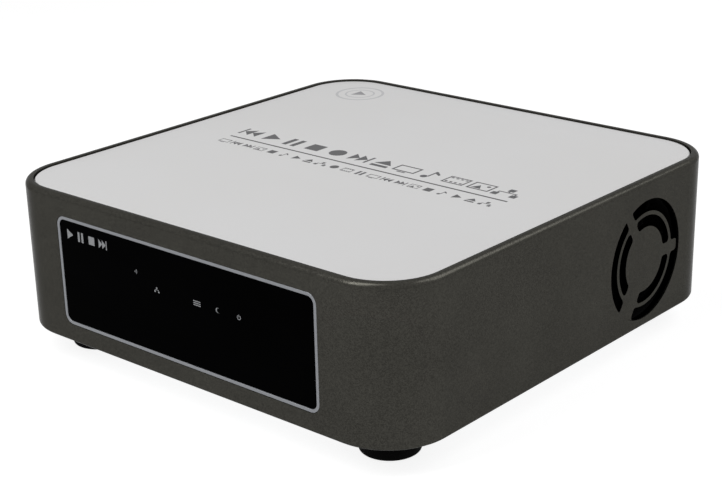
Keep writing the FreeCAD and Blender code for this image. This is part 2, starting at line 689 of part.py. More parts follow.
def rubber_feet():
    height = BASE_UNDER
    foot = Part.makeCone(FOOT_BOTTOM_RADIUS, FOOT_TOP_RADIUS, height)
    foot = foot.makeFillet(FOOT_EDGE_RADIUS, edges_at_height(foot, 0.0))
    foot = foot.cut(rod(FOOT_BORE_RADIUS, (0, 0, 0), Z_AXIS, FOOT_BORE_DEPTH))
    foot = foot.cut(rod(SCREW_RADIUS, (0, 0, 0), Z_AXIS, height))
    return group([placed(foot, (x, y, 0)) for x, y in FOOT_PLACES])


def foot_screws():
    """One screw up through each foot, with a nut on the base plate."""
    reach = BASE_TOP - FOOT_BORE_DEPTH + FOOT_SCREW_PROUD
    screw = pan_screw(SCREW_RADIUS, SCREW_HEAD_RADIUS, SCREW_HEAD_HEIGHT, reach)
    corners = [
        Vec(NUT_RADIUS * math.cos(turn), NUT_RADIUS * math.sin(turn), 0)
        for turn in [math.radians(60 * corner) for corner in range(7)]
    ]
    nut = Part.Face(Part.makePolygon(corners)).extrude(Vec(0, 0, NUT_HEIGHT))
    nut = nut.cut(Part.makeCylinder(SCREW_RADIUS, NUT_HEIGHT))
    pieces = []
    for x, y in FOOT_PLACES:
        pieces.append(placed(screw, (x, y, FOOT_BORE_DEPTH), X_AXIS, 180))
        pieces.append(placed(nut, (x, y, BASE_TOP)))
    return group(pieces)


# ---- Front window and display ----
def window_trim():
    outer_w = WINDOW_WIDTH - 2 * SEAT_GAP
    outer_h = WINDOW_HEIGHT - 2 * SEAT_GAP
    outer_r = WINDOW_RADIUS - SEAT_GAP
    back = FRONT_INSIDE + TRIM_FLANGE_THICKNESS

    def ring_slab(inset, y_low, y_high):
        return wall_slab(
            outer_w - 2 * inset, outer_h - 2 * inset, outer_r - inset, WINDOW_OFFSET, WINDOW_Z, y_low, y_high
        )

    ring = ring_slab(0.0, FRONT_FACE, back).cut(ring_slab(TRIM_WIDTH, FRONT_FACE, PANE_BACK))
    ring = ring.cut(ring_slab(TRIM_WIDTH + TRIM_LEDGE, FRONT_FACE, back))
    flange = ring_slab(-TRIM_FLANGE, FRONT_INSIDE, back).cut(ring_slab(TRIM_WIDTH, FRONT_INSIDE, back))
    ring = ring.makeFillet(TRIM_EDGE, edges_in_plane_y(ring, FRONT_FACE))
    return ring.fuse(flange).removeSplitter()


def front_window():
    inset = TRIM_WIDTH + 2 * SEAT_GAP
    return wall_slab(
        WINDOW_WIDTH - 2 * inset, WINDOW_HEIGHT - 2 * inset, WINDOW_RADIUS - inset,
        WINDOW_OFFSET, WINDOW_Z, PANE_FRONT, PANE_BACK,
    )


def display_board():
    board = wall_slab(
        DISPLAY_WIDTH, DISPLAY_HEIGHT, DISPLAY_CORNER, 0.0, DISPLAY_Z, DISPLAY_FRONT, DISPLAY_BACK
    )
    holes = [
        rod(SMALL_SCREW_RADIUS, (side * DISPLAY_BOSS_X, DISPLAY_FRONT, DISPLAY_Z), Y_AXIS, DISPLAY_THICKNESS)
        for side in SIDES
    ]
    return board.cut(holes)


def display_screws():
    length = DISPLAY_THICKNESS + DISPLAY_SCREW_REACH
    screw = pan_screw(SMALL_SCREW_RADIUS, SMALL_HEAD_RADIUS, SMALL_HEAD_HEIGHT, length)
    return group([
        placed(screw, (side * DISPLAY_BOSS_X, DISPLAY_BACK, DISPLAY_Z), X_AXIS, -90) for side in SIDES
    ])


def lamp_shroud():
    """Black block between the board and the window, with one well for each lamp."""
    x_low = LAMP_PLACES[0] - WELL_WIDTH / 2 - SHROUD_MARGIN
    x_high = LAMP_PLACES[-1] + WELL_WIDTH / 2 + SHROUD_MARGIN
    half = WELL_HEIGHT / 2 + SHROUD_MARGIN
    body = block((x_low, PANE_BACK + LOOSE_GAP, LAMP_Z - half), (x_high, DISPLAY_FRONT, LAMP_Z + half))
    low = LAMP_Z - WELL_HEIGHT / 2
    wells = [
        centred_block(x, WELL_WIDTH / 2, PANE_BACK, DISPLAY_FRONT, low, low + WELL_HEIGHT)
        for x in LAMP_PLACES
    ]
    return body.cut(wells)


def status_lamps():
    return group([
        centred_block(
            x, LAMP_WIDTH / 2, DISPLAY_FRONT - LAMP_DEPTH, DISPLAY_FRONT,
            LAMP_Z - LAMP_HEIGHT / 2, LAMP_Z + LAMP_HEIGHT / 2,
        )
        for x in LAMP_PLACES
    ])


def ir_receiver():
    width, depth, height = RECEIVER_SIZE
    face = DISPLAY_FRONT - depth
    low = RECEIVER_Z - height / 2
    body = centred_block(RECEIVER_X, width / 2, face, DISPLAY_FRONT, low, low + height)
    dome = Part.makeSphere(RECEIVER_DOME, Vec(RECEIVER_X, face, RECEIVER_Z + RECEIVER_DOME_RISE))
    return body.fuse(dome).removeSplitter()


def display_ribbon():
    """Flat cable down the back of the display board and back to the main board, with its two plugs."""
    half = RIBBON_WIDTH / 2
    level = BOARD_TOP + RIBBON_RISE
    bend_y = DISPLAY_BACK + RIBBON_THICKNESS + RIBBON_BEND
    bend_z = level + RIBBON_THICKNESS + RIBBON_BEND
    end_y = BOARD_FRONT + RIBBON_LANDING
    top = DISPLAY_Z - RIBBON_DROP
    drop = centred_block(RIBBON_X, half, DISPLAY_BACK, DISPLAY_BACK + RIBBON_THICKNESS, bend_z, top)
    run = centred_block(RIBBON_X, half, bend_y, end_y, level, level + RIBBON_THICKNESS)
    bend_start = (RIBBON_X - half, bend_y, bend_z)
    bend = rod(RIBBON_BEND + RIBBON_THICKNESS, bend_start, X_AXIS, RIBBON_WIDTH)
    bend = bend.cut(rod(RIBBON_BEND, bend_start, X_AXIS, RIBBON_WIDTH))
    reach = RIBBON_BEND + RIBBON_THICKNESS
    bend = bend.common(centred_block(RIBBON_X, half, bend_y - reach, bend_y, bend_z - reach, bend_z))
    strip = fused([drop, bend, run])
    plug_half = half + RIBBON_PLUG_MARGIN
    depth, height = UPPER_PLUG
    upper_plug = centred_block(RIBBON_X, plug_half, DISPLAY_BACK, DISPLAY_BACK + depth, top, top + height)
    depth, height = LOWER_PLUG
    lower_plug = centred_block(RIBBON_X, plug_half, end_y, end_y + depth, BOARD_TOP, BOARD_TOP + height)
    return group([strip, upper_plug, lower_plug])


# ---- Fan, drawn about +Z and then turned to lie about +X ----
def ring_slots(inner, outer, rear_spoke_end, low, high):
    """The openings between the spokes of one ring of the grille, as solids to cut away."""
    ring = rod(outer, (0, 0, low), Z_AXIS, high - low).cut(rod(inner, (0, 0, low), Z_AXIS, high - low))
    spokes = []
    for (angle, width), end in zip(GRILLE_SPOKES, (rear_spoke_end, GRILLE_RADIUS, GRILLE_RADIUS)):
        spoke = block((0, -width / 2, low), (end, width / 2, high))
        spokes.append(placed(spoke, (0, 0, 0), Z_AXIS, angle))
    openings = []
    for opening in ring.cut(spokes).Solids:
        upright = [e for e in opening.Edges if e.BoundBox.ZLength > (high - low) / 2]
        openings.append(opening.makeFillet(SLOT_CORNER, upright))
    return openings


def fan_grille():
    """Slotted disc; the two outer slots beside the rear spoke join round its free end."""
    low = GRILLE_FACE - GRILLE_THICKNESS - FAN_INNER
    high = GRILLE_FACE - FAN_INNER
    disc = rod(GRILLE_RADIUS - SEAT_GAP, (0, 0, low), Z_AXIS, GRILLE_THICKNESS)
    openings = ring_slots(GRILLE_HUB_RADIUS, GRILLE_INNER_SLOT, GRILLE_RADIUS, low, high)
    free_end = GRILLE_HOLE_RADIUS - SPOKE_END_GAP
    openings += ring_slots(GRILLE_OUTER_SLOT, GRILLE_HOLE_RADIUS, free_end, low, high)
    return to_fan_axis(disc.cut(openings))


def fan_frame():
    half = FAN_HOLE_SPACING / 2
    corners = [(sx * half, sy * half) for sx in SIDES for sy in SIDES]
    shell = [
        rounded_slab(FAN_SIZE, FAN_SIZE, FAN_CORNER, 0.0, FAN_FLANGE),
        rounded_slab(FAN_SIZE, FAN_SIZE, FAN_CORNER, FAN_DEPTH - FAN_FLANGE, FAN_DEPTH),
        Part.makeCylinder(FAN_BORE + FAN_SHROUD_WALL, FAN_DEPTH),
    ]
    shell += [rod(FAN_CORNER, (x, y, 0), Z_AXIS, FAN_DEPTH) for x, y in corners]
    frame = fused(shell).cut(Part.makeCylinder(FAN_BORE, FAN_DEPTH))
    seat_low = FAN_DEPTH - FAN_SEAT_THICKNESS
    struts = [rod(FAN_SEAT_RADIUS, (0, 0, seat_low), Z_AXIS, FAN_SEAT_THICKNESS)]
    reach = FAN_BORE + FAN_SHROUD_WALL / 2
    for angle, _ in GRILLE_SPOKES:
        strut = block((0, -STRUT_WIDTH / 2, seat_low), (reach, STRUT_WIDTH / 2, FAN_DEPTH))
        struts.append(placed(strut, (0, 0, 0), Z_AXIS, angle))
    tube_low = ROTOR_INNER + TUBE_RISE
    tube = rod(BEARING_WALL_RADIUS, (0, 0, tube_low), Z_AXIS, seat_low - tube_low)
    frame = fused([frame] + struts + [tube])
    cuts = [rod(SCREW_RADIUS + SEAT_GAP, (x, y, 0), Z_AXIS, FAN_DEPTH) for x, y in corners]
    cuts.append(rod(BEARING_RADIUS, (0, 0, 0), Z_AXIS, seat_low))
    return to_fan_axis(frame.cut(cuts))


def bearing_span():
    """Lowest and highest level of the bearing, along the fan's axis."""
    return ROTOR_INNER + BEARING_RISE, FAN_DEPTH - FAN_SEAT_THICKNESS


def fan_bearing():
    low, high = bearing_span()
    sleeve = rod(BEARING_RADIUS, (0, 0, low), Z_AXIS, high - low)
    return to_fan_axis(sleeve.cut(rod(SHAFT_RADIUS + SHAFT_GAP, (0, 0, low), Z_AXIS, high - low)))


def fan_stator():
    """Four wound poles round the bearing tube."""
    low = FAN_DEPTH - FAN_SEAT_THICKNESS - STATOR_DEPTH
    core = rod(STATOR_RADIUS - STATOR_POLE_LENGTH, (0, 0, low), Z_AXIS, STATOR_DEPTH)
    half = STATOR_ARM_WIDTH / 2
    poles = []
    for index in range(STATOR_ARM_COUNT):
        arm = block((0, -half, low), (STATOR_RADIUS, half, low + STATOR_DEPTH))
        poles.append(placed(arm, (0, 0, 0), Z_AXIS, 360 * (index + 0.5) / STATOR_ARM_COUNT))
    coil = fused([core] + poles).common(rod(STATOR_RADIUS, (0, 0, low), Z_AXIS, STATOR_DEPTH))
    return to_fan_axis(coil.cut(rod(BEARING_WALL_RADIUS, (0, 0, low), Z_AXIS, STATOR_DEPTH)))


def fan_rotor():
    """Hub cup with its blades; the cup opens towards the stator."""
    hub = rod(ROTOR_HUB_RADIUS, (0, 0, ROTOR_INNER), Z_AXIS, ROTOR_DEPTH)
    hub = hub.makeFillet(HUB_EDGE_RADIUS, edges_at_height(hub, ROTOR_INNER))
    inside = ROTOR_HUB_RADIUS - ROTOR_HUB_WALL
    hub = hub.cut(rod(inside, (0, 0, ROTOR_INNER + HUB_FLOOR), Z_AXIS, ROTOR_DEPTH))
    hub = hub.cut(rod(SHAFT_RADIUS, (0, 0, ROTOR_INNER + SHAFT_SEAT), Z_AXIS, ROTOR_DEPTH))
    tip = FAN_BORE - ROTOR_TIP_GAP
    sweep = rod(tip, (0, 0, ROTOR_INNER), Z_AXIS, ROTOR_DEPTH).cut(
        rod(ROTOR_HUB_RADIUS - ROTOR_HUB_WALL / 2, (0, 0, ROTOR_INNER), Z_AXIS, ROTOR_DEPTH)
    )
    half_chord = BLADE_CHORD / 2
    half_thickness = BLADE_THICKNESS / 2
    blade = block((inside, -half_chord, -half_thickness), (FAN_BORE, half_chord, half_thickness))
    blade.rotate(Vec(0, 0, 0), X_AXIS, BLADE_PITCH)
    blade.translate(Vec(0, 0, ROTOR_INNER + ROTOR_DEPTH / 2))
    blade = blade.common(sweep)
    blades = [placed(blade, (0, 0, 0), Z_AXIS, 360.0 * k / BLADE_COUNT) for k in range(BLADE_COUNT)]
    return to_fan_axis(fused([hub] + blades))


def fan_magnet():
    outer = ROTOR_HUB_RADIUS - ROTOR_HUB_WALL
    low = ROTOR_INNER + MAGNET_RISE
    height = ROTOR_OUTER - MAGNET_END_GAP - low
    ring = rod(outer, (0, 0, low), Z_AXIS, height)
    return to_fan_axis(ring.cut(rod(outer - MAGNET_WALL, (0, 0, low), Z_AXIS, height)))


def fan_shaft():
    low = ROTOR_INNER + SHAFT_SEAT
    high = bearing_span()[1] - SHAFT_END_GAP
    return to_fan_axis(rod(SHAFT_RADIUS, (0, 0, low), Z_AXIS, high - low))


def fan_screws():
    screw = pan_screw(SCREW_RADIUS, SCREW_HEAD_RADIUS, SCREW_HEAD_HEIGHT, FAN_DEPTH + FAN_PILOT_DEPTH)
    return group([placed(screw, (FAN_INNER, y, z), Y_AXIS, -90) for y, z in fan_hole_places()])


def fan_wire():
    """Lead from the fan's frame to its plug on the main board."""
    width, depth, height = WIRE_PLUG
    y = FAN_Y - WIRE_OFFSET
    top = BOARD_TOP + WIRE_RISE
    plug_x = BOARD_WIDTH / 2 - WIRE_PLUG_INSET
    plug_top = BOARD_TOP + height
    bend_centre = Vec(plug_x + WIRE_BEND, y, top - WIRE_BEND)
    mid = bend_centre + Vec(-math.sqrt(0.5) * WIRE_BEND, 0, math.sqrt(0.5) * WIRE_BEND)
    start = Vec(FAN_INNER, y, top)
    bend_in = Vec(plug_x + WIRE_BEND, y, top)
    bend_out = Vec(plug_x, y, top - WIRE_BEND)
    path = Part.Wire([
        Part.makeLine(start, bend_in),
        Part.Arc(bend_in, mid, bend_out).toShape(),
        Part.makeLine(bend_out, Vec(plug_x, y, plug_top)),
    ])
    section = Part.Wire([Part.makeCircle(WIRE_RADIUS, start, X_AXIS)])
    plug = centred_block(plug_x, width / 2, y - depth / 2, y + depth / 2, BOARD_TOP, plug_top)
    return group([path.makePipeShell([section], True, False), plug])


# ---- Main board ----
def main_board():
    half = BOARD_WIDTH / 2
    board = block((-half, BOARD_FRONT, BOARD_UNDER), (half, BOARD_REAR, BOARD_TOP))
    holes = [
        rod(SMALL_SCREW_RADIUS, (x, y, BOARD_UNDER), Z_AXIS, BOARD_THICKNESS)
        for x, y in POST_PLACES + PLAIN_STANDOFF_PLACES
    ]
    return board.cut(holes)


def board_standoffs():
    """Threaded pillars pressed into the base plate."""
    pillars = []
    for x, y in POST_PLACES + PLAIN_STANDOFF_PLACES:
        pillar = rod(STANDOFF_RADIUS, (x, y, BASE_TOP), Z_AXIS, STANDOFF_HEIGHT)
        pillar = pillar.fuse(rod(SCREW_RADIUS, (x, y, BASE_UNDER), Z_AXIS, BASE_THICKNESS))
        pillars.append(pillar.cut(rod(SMALL_SCREW_RADIUS, (x, y, BASE_UNDER), Z_AXIS, BOARD_UNDER)))
    return group(pillars)


def board_screws():
    length = BOARD_THICKNESS + BOARD_SCREW_REACH
    screw = pan_screw(SMALL_SCREW_RADIUS, SMALL_HEAD_RADIUS, SMALL_HEAD_HEIGHT, length)
    return group([placed(screw, (x, y, BOARD_TOP)) for x, y in PLAIN_STANDOFF_PLACES])


def processor():
    half = CHIP_SIZE / 2
    return centred_block(SINK_X, half, SINK_Y - half, SINK_Y + half, BOARD_TOP, BOARD_TOP + CHIP_HEIGHT)


def heat_sink():
    half = SINK_SIZE / 2
    low = BOARD_TOP + CHIP_HEIGHT
    base = centred_block(SINK_X, half, SINK_Y - half, SINK_Y + half, low, low + SINK_BASE)
    fin_top = low + SINK_BASE + SINK_FIN_HEIGHT
    pitch = (SINK_SIZE - SINK_FIN_THICKNESS) / (SINK_FIN_COUNT - 1)
    fins = []
    for index in range(SINK_FIN_COUNT):
        x = SINK_X - half + index * pitch
        fins.append(block((x, SINK_Y - half, low), (x + SINK_FIN_THICKNESS, SINK_Y + half, fin_top)))
    return fused([base] + fins)


def memory_chips():
    width, depth, height = MEMORY_SIZE
    return group([
        centred_block(MEMORY_X, width / 2, y - depth / 2, y + depth / 2, BOARD_TOP, BOARD_TOP + height)
        for y in MEMORY_YS
    ])


def capacitors():
    can = Part.makeCylinder(CAPACITOR_RADIUS, CAPACITOR_HEIGHT)
    can = can.makeFillet(CAPACITOR_EDGE, edges_at_height(can, CAPACITOR_HEIGHT))
    return group([placed(can, (x, y, BOARD_TOP)) for x, y in CAPACITOR_PLACES])


def power_coils():
    return group([
        rounded_slab(COIL_SIZE, COIL_SIZE, COIL_CORNER, BOARD_TOP, BOARD_TOP + COIL_HEIGHT, x, y)
        for x, y in COIL_PLACES
    ])


def clock_battery():
    cell = rod(BATTERY_RADIUS, (*BATTERY_PLACE, BOARD_TOP), Z_AXIS, BATTERY_HEIGHT)
    return cell.makeChamfer(BATTERY_EDGE, edges_at_height(cell, BOARD_TOP + BATTERY_HEIGHT))


# ---- Rear panel and sockets ----
def socket_block(x, size):
    """Body of a socket that stands on the board and reaches out through the rear panel."""
    width, depth, height = size
    face = PANEL_FACE + SOCKET_PROUD
    return centred_block(x, width / 2, face - depth, face, BOARD_TOP, BOARD_TOP + height)


def mouth_cut(x, size, middle_height):
    width, depth, height = size
    face = PANEL_FACE + SOCKET_PROUD
    middle = BOARD_TOP + middle_height
    return centred_block(x, width / 2, face - depth, face, middle - height / 2, middle + height / 2)


def panel_holes():
    """Cuts through the rear panel for everything that reaches through it."""
    cuts = []
    for x, size in (
        (NETWORK_X, NETWORK_SIZE), (DATA_X, DATA_SIZE), (VIDEO_X, VIDEO_SIZE), (OPTIC_X, OPTIC_SIZE)
    ):
        width, _, height = size
        low = BOARD_TOP - LOOSE_GAP
        high = BOARD_TOP + height + LOOSE_GAP
        cuts.append(centred_block(x, width / 2 + LOOSE_GAP, PANEL_BACK, PANEL_FACE, low, high))
    for x in JACK_PLACES:
        start = (x, PANEL_BACK, BOARD_TOP + JACK_HEIGHT)
        cuts.append(rod(JACK_SHELL_RADIUS + LOOSE_GAP, start, Y_AXIS, REAR_THICKNESS))
    inlet_radius = INLET_BORE_RADIUS + INLET_NOSE_WALL + INLET_NOSE_GAP
    cuts.append(rod(inlet_radius, (INLET_X, PANEL_BACK, BOARD_TOP + INLET_HEIGHT), Y_AXIS, REAR_THICKNESS))
    cuts.append(centred_block(
        ROCKER_X, ROCKER_BODY[0] / 2 + SEAT_GAP, PANEL_BACK, PANEL_FACE,
        ROCKER_Z - ROCKER_BODY[2] / 2 - SEAT_GAP, ROCKER_Z + ROCKER_BODY[2] / 2 + SEAT_GAP,
    ))
    cuts.append(rod(RESET_RADIUS + SLIDE_GAP, (ROCKER_X, PANEL_BACK, RESET_Z), Y_AXIS, REAR_THICKNESS))
    cuts.append(centred_block(TRAY_X, MOUTH_HALF, PANEL_BACK, PANEL_FACE, MOUTH_BOTTOM, MOUTH_TOP))
    return cuts


def rear_panel():
    """Folded sheet: the plate at the bottom of the recess, its side and bottom walls, and two ears."""
    half = REAR_OPENING_WIDTH / 2
    low = REAR_OPENING_BOTTOM - REAR_THICKNESS
    wall_top = LEDGE_UNDER - LOOSE_GAP
    outer = half + REAR_THICKNESS
    pieces = [block((-outer, PANEL_BACK, low), (outer, PANEL_FACE, PANEL_UNDER - LOOSE_GAP))]
    pieces.append(block((-outer, PANEL_FACE, low), (outer, REAR_INSIDE, REAR_OPENING_BOTTOM)))
    for side in SIDES:
        inner_x, outer_x = sorted((side * half, side * outer))
        pieces.append(block((inner_x, PANEL_FACE, low), (outer_x, REAR_INSIDE, wall_top)))
        ear_x, ear_end = sorted((side * outer, side * (outer + REAR_EAR_WIDTH)))
        ear_low = (ear_x, REAR_INSIDE - REAR_THICKNESS, low + REAR_EAR_CUT)
        pieces.append(block(ear_low, (ear_end, REAR_INSIDE, wall_top - REAR_EAR_CUT)))
    screws = [
        rod(SCREW_RADIUS, (x, REAR_INSIDE - REAR_THICKNESS, z), Y_AXIS, REAR_THICKNESS)
        for x, z in rear_screw_places()
    ]
    return fused(pieces).cut(panel_holes() + screws)


def rear_panel_screws():
    length = BAND_WALL + REAR_THICKNESS + REAR_SCREW_PROUD
    screw = flat_screw(SCREW_RADIUS, COUNTERSINK_RADIUS, COUNTERSINK_DEPTH, length)
    return group([placed(screw, (x, REAR_FACE, z), X_AXIS, -90) for x, z in rear_screw_places()])


def network_socket():
    body = socket_block(NETWORK_X, NETWORK_SIZE)
    _, depth, height = NETWORK_MOUTH
    key_width, key_height = NETWORK_KEY
    mouth = mouth_cut(NETWORK_X, NETWORK_MOUTH, NETWORK_RISE)
    key = mouth_cut(NETWORK_X, (key_width, depth, key_height), NETWORK_RISE - height / 2 - key_height / 2)
    return body.cut(mouth.fuse(key))


def data_sockets():
    """Two flat data sockets, one over the other, each with its tongue."""
    body = socket_block(DATA_X, DATA_SIZE)
    first = DATA_SIZE[2] / 2 - DATA_PITCH / 2
    root = PANEL_FACE + SOCKET_PROUD - DATA_MOUTH[1]
    width, depth, height = DATA_TONGUE
    for level in (first, first + DATA_PITCH):
        tongue_top = BOARD_TOP + level + DATA_MOUTH[2] / 2 - DATA_TONGUE_DROP
        tongue_low = tongue_top - height
        tongue = centred_block(DATA_X, width / 2, root, root + depth, tongue_low, tongue_top)
        body = body.cut(mouth_cut(DATA_X, DATA_MOUTH, level).cut(tongue))
    return body


def video_socket():
    """Flat socket with slanted lower corners and a tongue."""
    middle = VIDEO_SIZE[2] / 2
    mouth = mouth_cut(VIDEO_X, VIDEO_MOUTH, middle)
    low = BOARD_TOP + middle - VIDEO_MOUTH[2] / 2
    lower = [e for e in edges_at_height(mouth, low) if e.BoundBox.YLength > VIDEO_MOUTH[1] / 2]
    mouth = mouth.makeChamfer(VIDEO_SLANT, lower)
    width, depth, height = VIDEO_TONGUE
    root = PANEL_FACE + SOCKET_PROUD - VIDEO_MOUTH[1]
    level = BOARD_TOP + middle - height / 2
    tongue = centred_block(VIDEO_X, width / 2, root, root + depth, level, level + height)
    return socket_block(VIDEO_X, VIDEO_SIZE).cut(mouth.cut(tongue))


def optical_socket():
    body = socket_block(OPTIC_X, OPTIC_SIZE).cut(mouth_cut(OPTIC_X, OPTIC_MOUTH, OPTIC_SIZE[2] / 2))
    start = (OPTIC_X, PANEL_FACE + SOCKET_PROUD - OPTIC_MOUTH[1], BOARD_TOP + OPTIC_SIZE[2] / 2)
    return body.fuse(rod(OPTIC_LENS_RADIUS, start, Y_AXIS, OPTIC_LENS_LENGTH))


def av_jacks():
    """Three round jacks: a block on the board, the outer shell and the core inside it."""
    jacks = []
    width, depth, height = JACK_HOUSING
    for x in JACK_PLACES:
        z = BOARD_TOP + JACK_HEIGHT
        body = centred_block(x, width / 2, PANEL_BACK - depth, PANEL_BACK, BOARD_TOP, BOARD_TOP + height)
        reach = JACK_LENGTH + REAR_THICKNESS
        shell = rod(JACK_SHELL_RADIUS, (x, PANEL_BACK, z), Y_AXIS, reach)
        shell = shell.cut(rod(JACK_SHELL_RADIUS - JACK_SHELL_WALL, (x, PANEL_BACK, z), Y_AXIS, reach))
        core = rod(JACK_CORE_RADIUS, (x, PANEL_BACK, z), Y_AXIS, reach - JACK_CORE_SETBACK)
        jack = fused([body, shell, core])
        bore = rod(JACK_BORE_RADIUS, (x, PANEL_BACK - JACK_BORE_BEHIND, z), Y_AXIS, reach + JACK_BORE_BEHIND)
        jacks.append(jack.cut(bore))
    return group(jacks)


def power_inlet():
    """Round low-voltage inlet with its centre pin."""
    width, depth, height = INLET_SIZE
    z = BOARD_TOP + INLET_HEIGHT
    body = centred_block(INLET_X, width / 2, PANEL_BACK - depth, PANEL_BACK, BOARD_TOP, BOARD_TOP + height)
    nose = rod(INLET_BORE_RADIUS + INLET_NOSE_WALL, (INLET_X, PANEL_BACK, z), Y_AXIS, REAR_THICKNESS)
    mouth_back = PANEL_FACE - INLET_BORE_DEPTH
    body = fused([body, nose]).cut(rod(INLET_BORE_RADIUS, (INLET_X, mouth_back, z), Y_AXIS, INLET_BORE_DEPTH))
    pin_length = INLET_BORE_DEPTH - INLET_PIN_SETBACK
    return body.fuse(rod(INLET_PIN_RADIUS, (INLET_X, mouth_back, z), Y_AXIS, pin_length))


def rocker_housing():
    flange_w, flange_t, flange_h = ROCKER_FLANGE
    body_w, body_d, body_h = ROCKER_BODY
    face = PANEL_FACE + flange_t
    flange = wall_slab(flange_w, flange_h, ROCKER_FLANGE_CORNER, ROCKER_X, ROCKER_Z, PANEL_FACE, face)
    flange = flange.makeChamfer(ROCKER_FLANGE_EDGE, edges_in_plane_y(flange, face))
    body = centred_block(
        ROCKER_X, body_w / 2, PANEL_FACE - body_d, PANEL_FACE, ROCKER_Z - body_h / 2, ROCKER_Z + body_h / 2
    )
    inner_w = ROCKER_PADDLE[0] + 2 * LOOSE_GAP
    inner_h = body_h - 2 * ROCKER_WALL
    hollow_back = PANEL_FACE - body_d + ROCKER_WALL
    hollow_low = ROCKER_Z - inner_h / 2
    hollow = centred_block(ROCKER_X, inner_w / 2, hollow_back, face, hollow_low, hollow_low + inner_h)
    pivot_length = inner_w + 2 * ROCKER_WALL
    pivot_start = (ROCKER_X - pivot_length / 2, ROCKER_PIVOT_Y, ROCKER_Z)
    pivot = rod(ROCKER_TRUNNION + PIVOT_GAP, pivot_start, X_AXIS, pivot_length)
    return flange.fuse(body).cut([hollow, pivot]).removeSplitter()


def power_rocker():
    """Paddle with a shallow V face, drawn level and then tipped to its resting side."""
    width, depth, height = ROCKER_PADDLE
    half = height / 2
    front = depth / 2
    outline = Part.makePolygon([
        Vec(0, -front, -half), Vec(0, front + ROCKER_DISH, -half), Vec(0, front, 0),
        Vec(0, front + ROCKER_DISH, half), Vec(0, -front, half), Vec(0, -front, -half),
    ])
    paddle = Part.Face(outline).extrude(Vec(width, 0, 0))
    paddle.translate(Vec(-width / 2, 0, 0))
    reach = width / 2 + LOOSE_GAP + ROCKER_WALL - SEAT_GAP
    trunnion = rod(ROCKER_TRUNNION, (-reach, 0, 0), X_AXIS, 2 * reach)
    paddle = paddle.fuse(trunnion).removeSplitter()
    return placed(paddle, (ROCKER_X, ROCKER_PIVOT_Y, ROCKER_Z), X_AXIS, -ROCKER_TILT)


def reset_switch():
    """Sleeve on the back of the panel that guides the reset button."""
    width, depth, height = RESET_SLEEVE
    body = centred_block(
        ROCKER_X, width / 2, PANEL_BACK - depth, PANEL_BACK, RESET_Z - height / 2, RESET_Z + height / 2
    )
    bore_start = (ROCKER_X, PANEL_BACK - depth + RESET_FLOOR, RESET_Z)
    bore = rod(RESET_STEM_RADIUS + PIVOT_GAP, bore_start, Y_AXIS, depth)
    seat_start = (ROCKER_X, PANEL_BACK - RESET_SEAT_DEPTH, RESET_Z)
    seat = rod(RESET_RADIUS + SLIDE_GAP, seat_start, Y_AXIS, RESET_SEAT_DEPTH)
    return body.cut([bore, seat])


def reset_cap():
    """Button cap and its stem; it can move in by its travel."""
    face = PANEL_FACE + RESET_PROUD
    cap_back = PANEL_BACK - RESET_SEAT_DEPTH + RESET_TRAVEL + LOOSE_GAP
    cap = rod(RESET_RADIUS, (ROCKER_X, cap_back, RESET_Z), Y_AXIS, face - cap_back)
    cap = cap.makeFillet(RESET_EDGE, edges_in_plane_y(cap, face))
    stem_back = PANEL_BACK - RESET_SLEEVE[1] + RESET_FLOOR + RESET_TRAVEL + LOOSE_GAP
    return cap.fuse(rod(RESET_STEM_RADIUS, (ROCKER_X, stem_back, RESET_Z), Y_AXIS, cap_back - stem_back))


# ---- Cage, riser board and socket ----
def cage_posts():
    """Pillars on the main board that carry the cage, each with a stud down into a standoff."""
    posts = []
    for x, y in POST_PLACES:
        post = rod(POST_RADIUS, (x, y, BOARD_TOP), Z_AXIS, CAGE_BOTTOM - BOARD_TOP)
        stud_low = BOARD_UNDER - POST_STUD_REACH
        post = post.fuse(rod(SMALL_SCREW_RADIUS, (x, y, stud_low), Z_AXIS, BOARD_TOP - stud_low))
        hole_low = (x, y, CAGE_BOTTOM - POST_HOLE_DEPTH)
        posts.append(post.cut(rod(SMALL_SCREW_RADIUS, hole_low, Z_AXIS, POST_HOLE_DEPTH)))
    return group(posts)


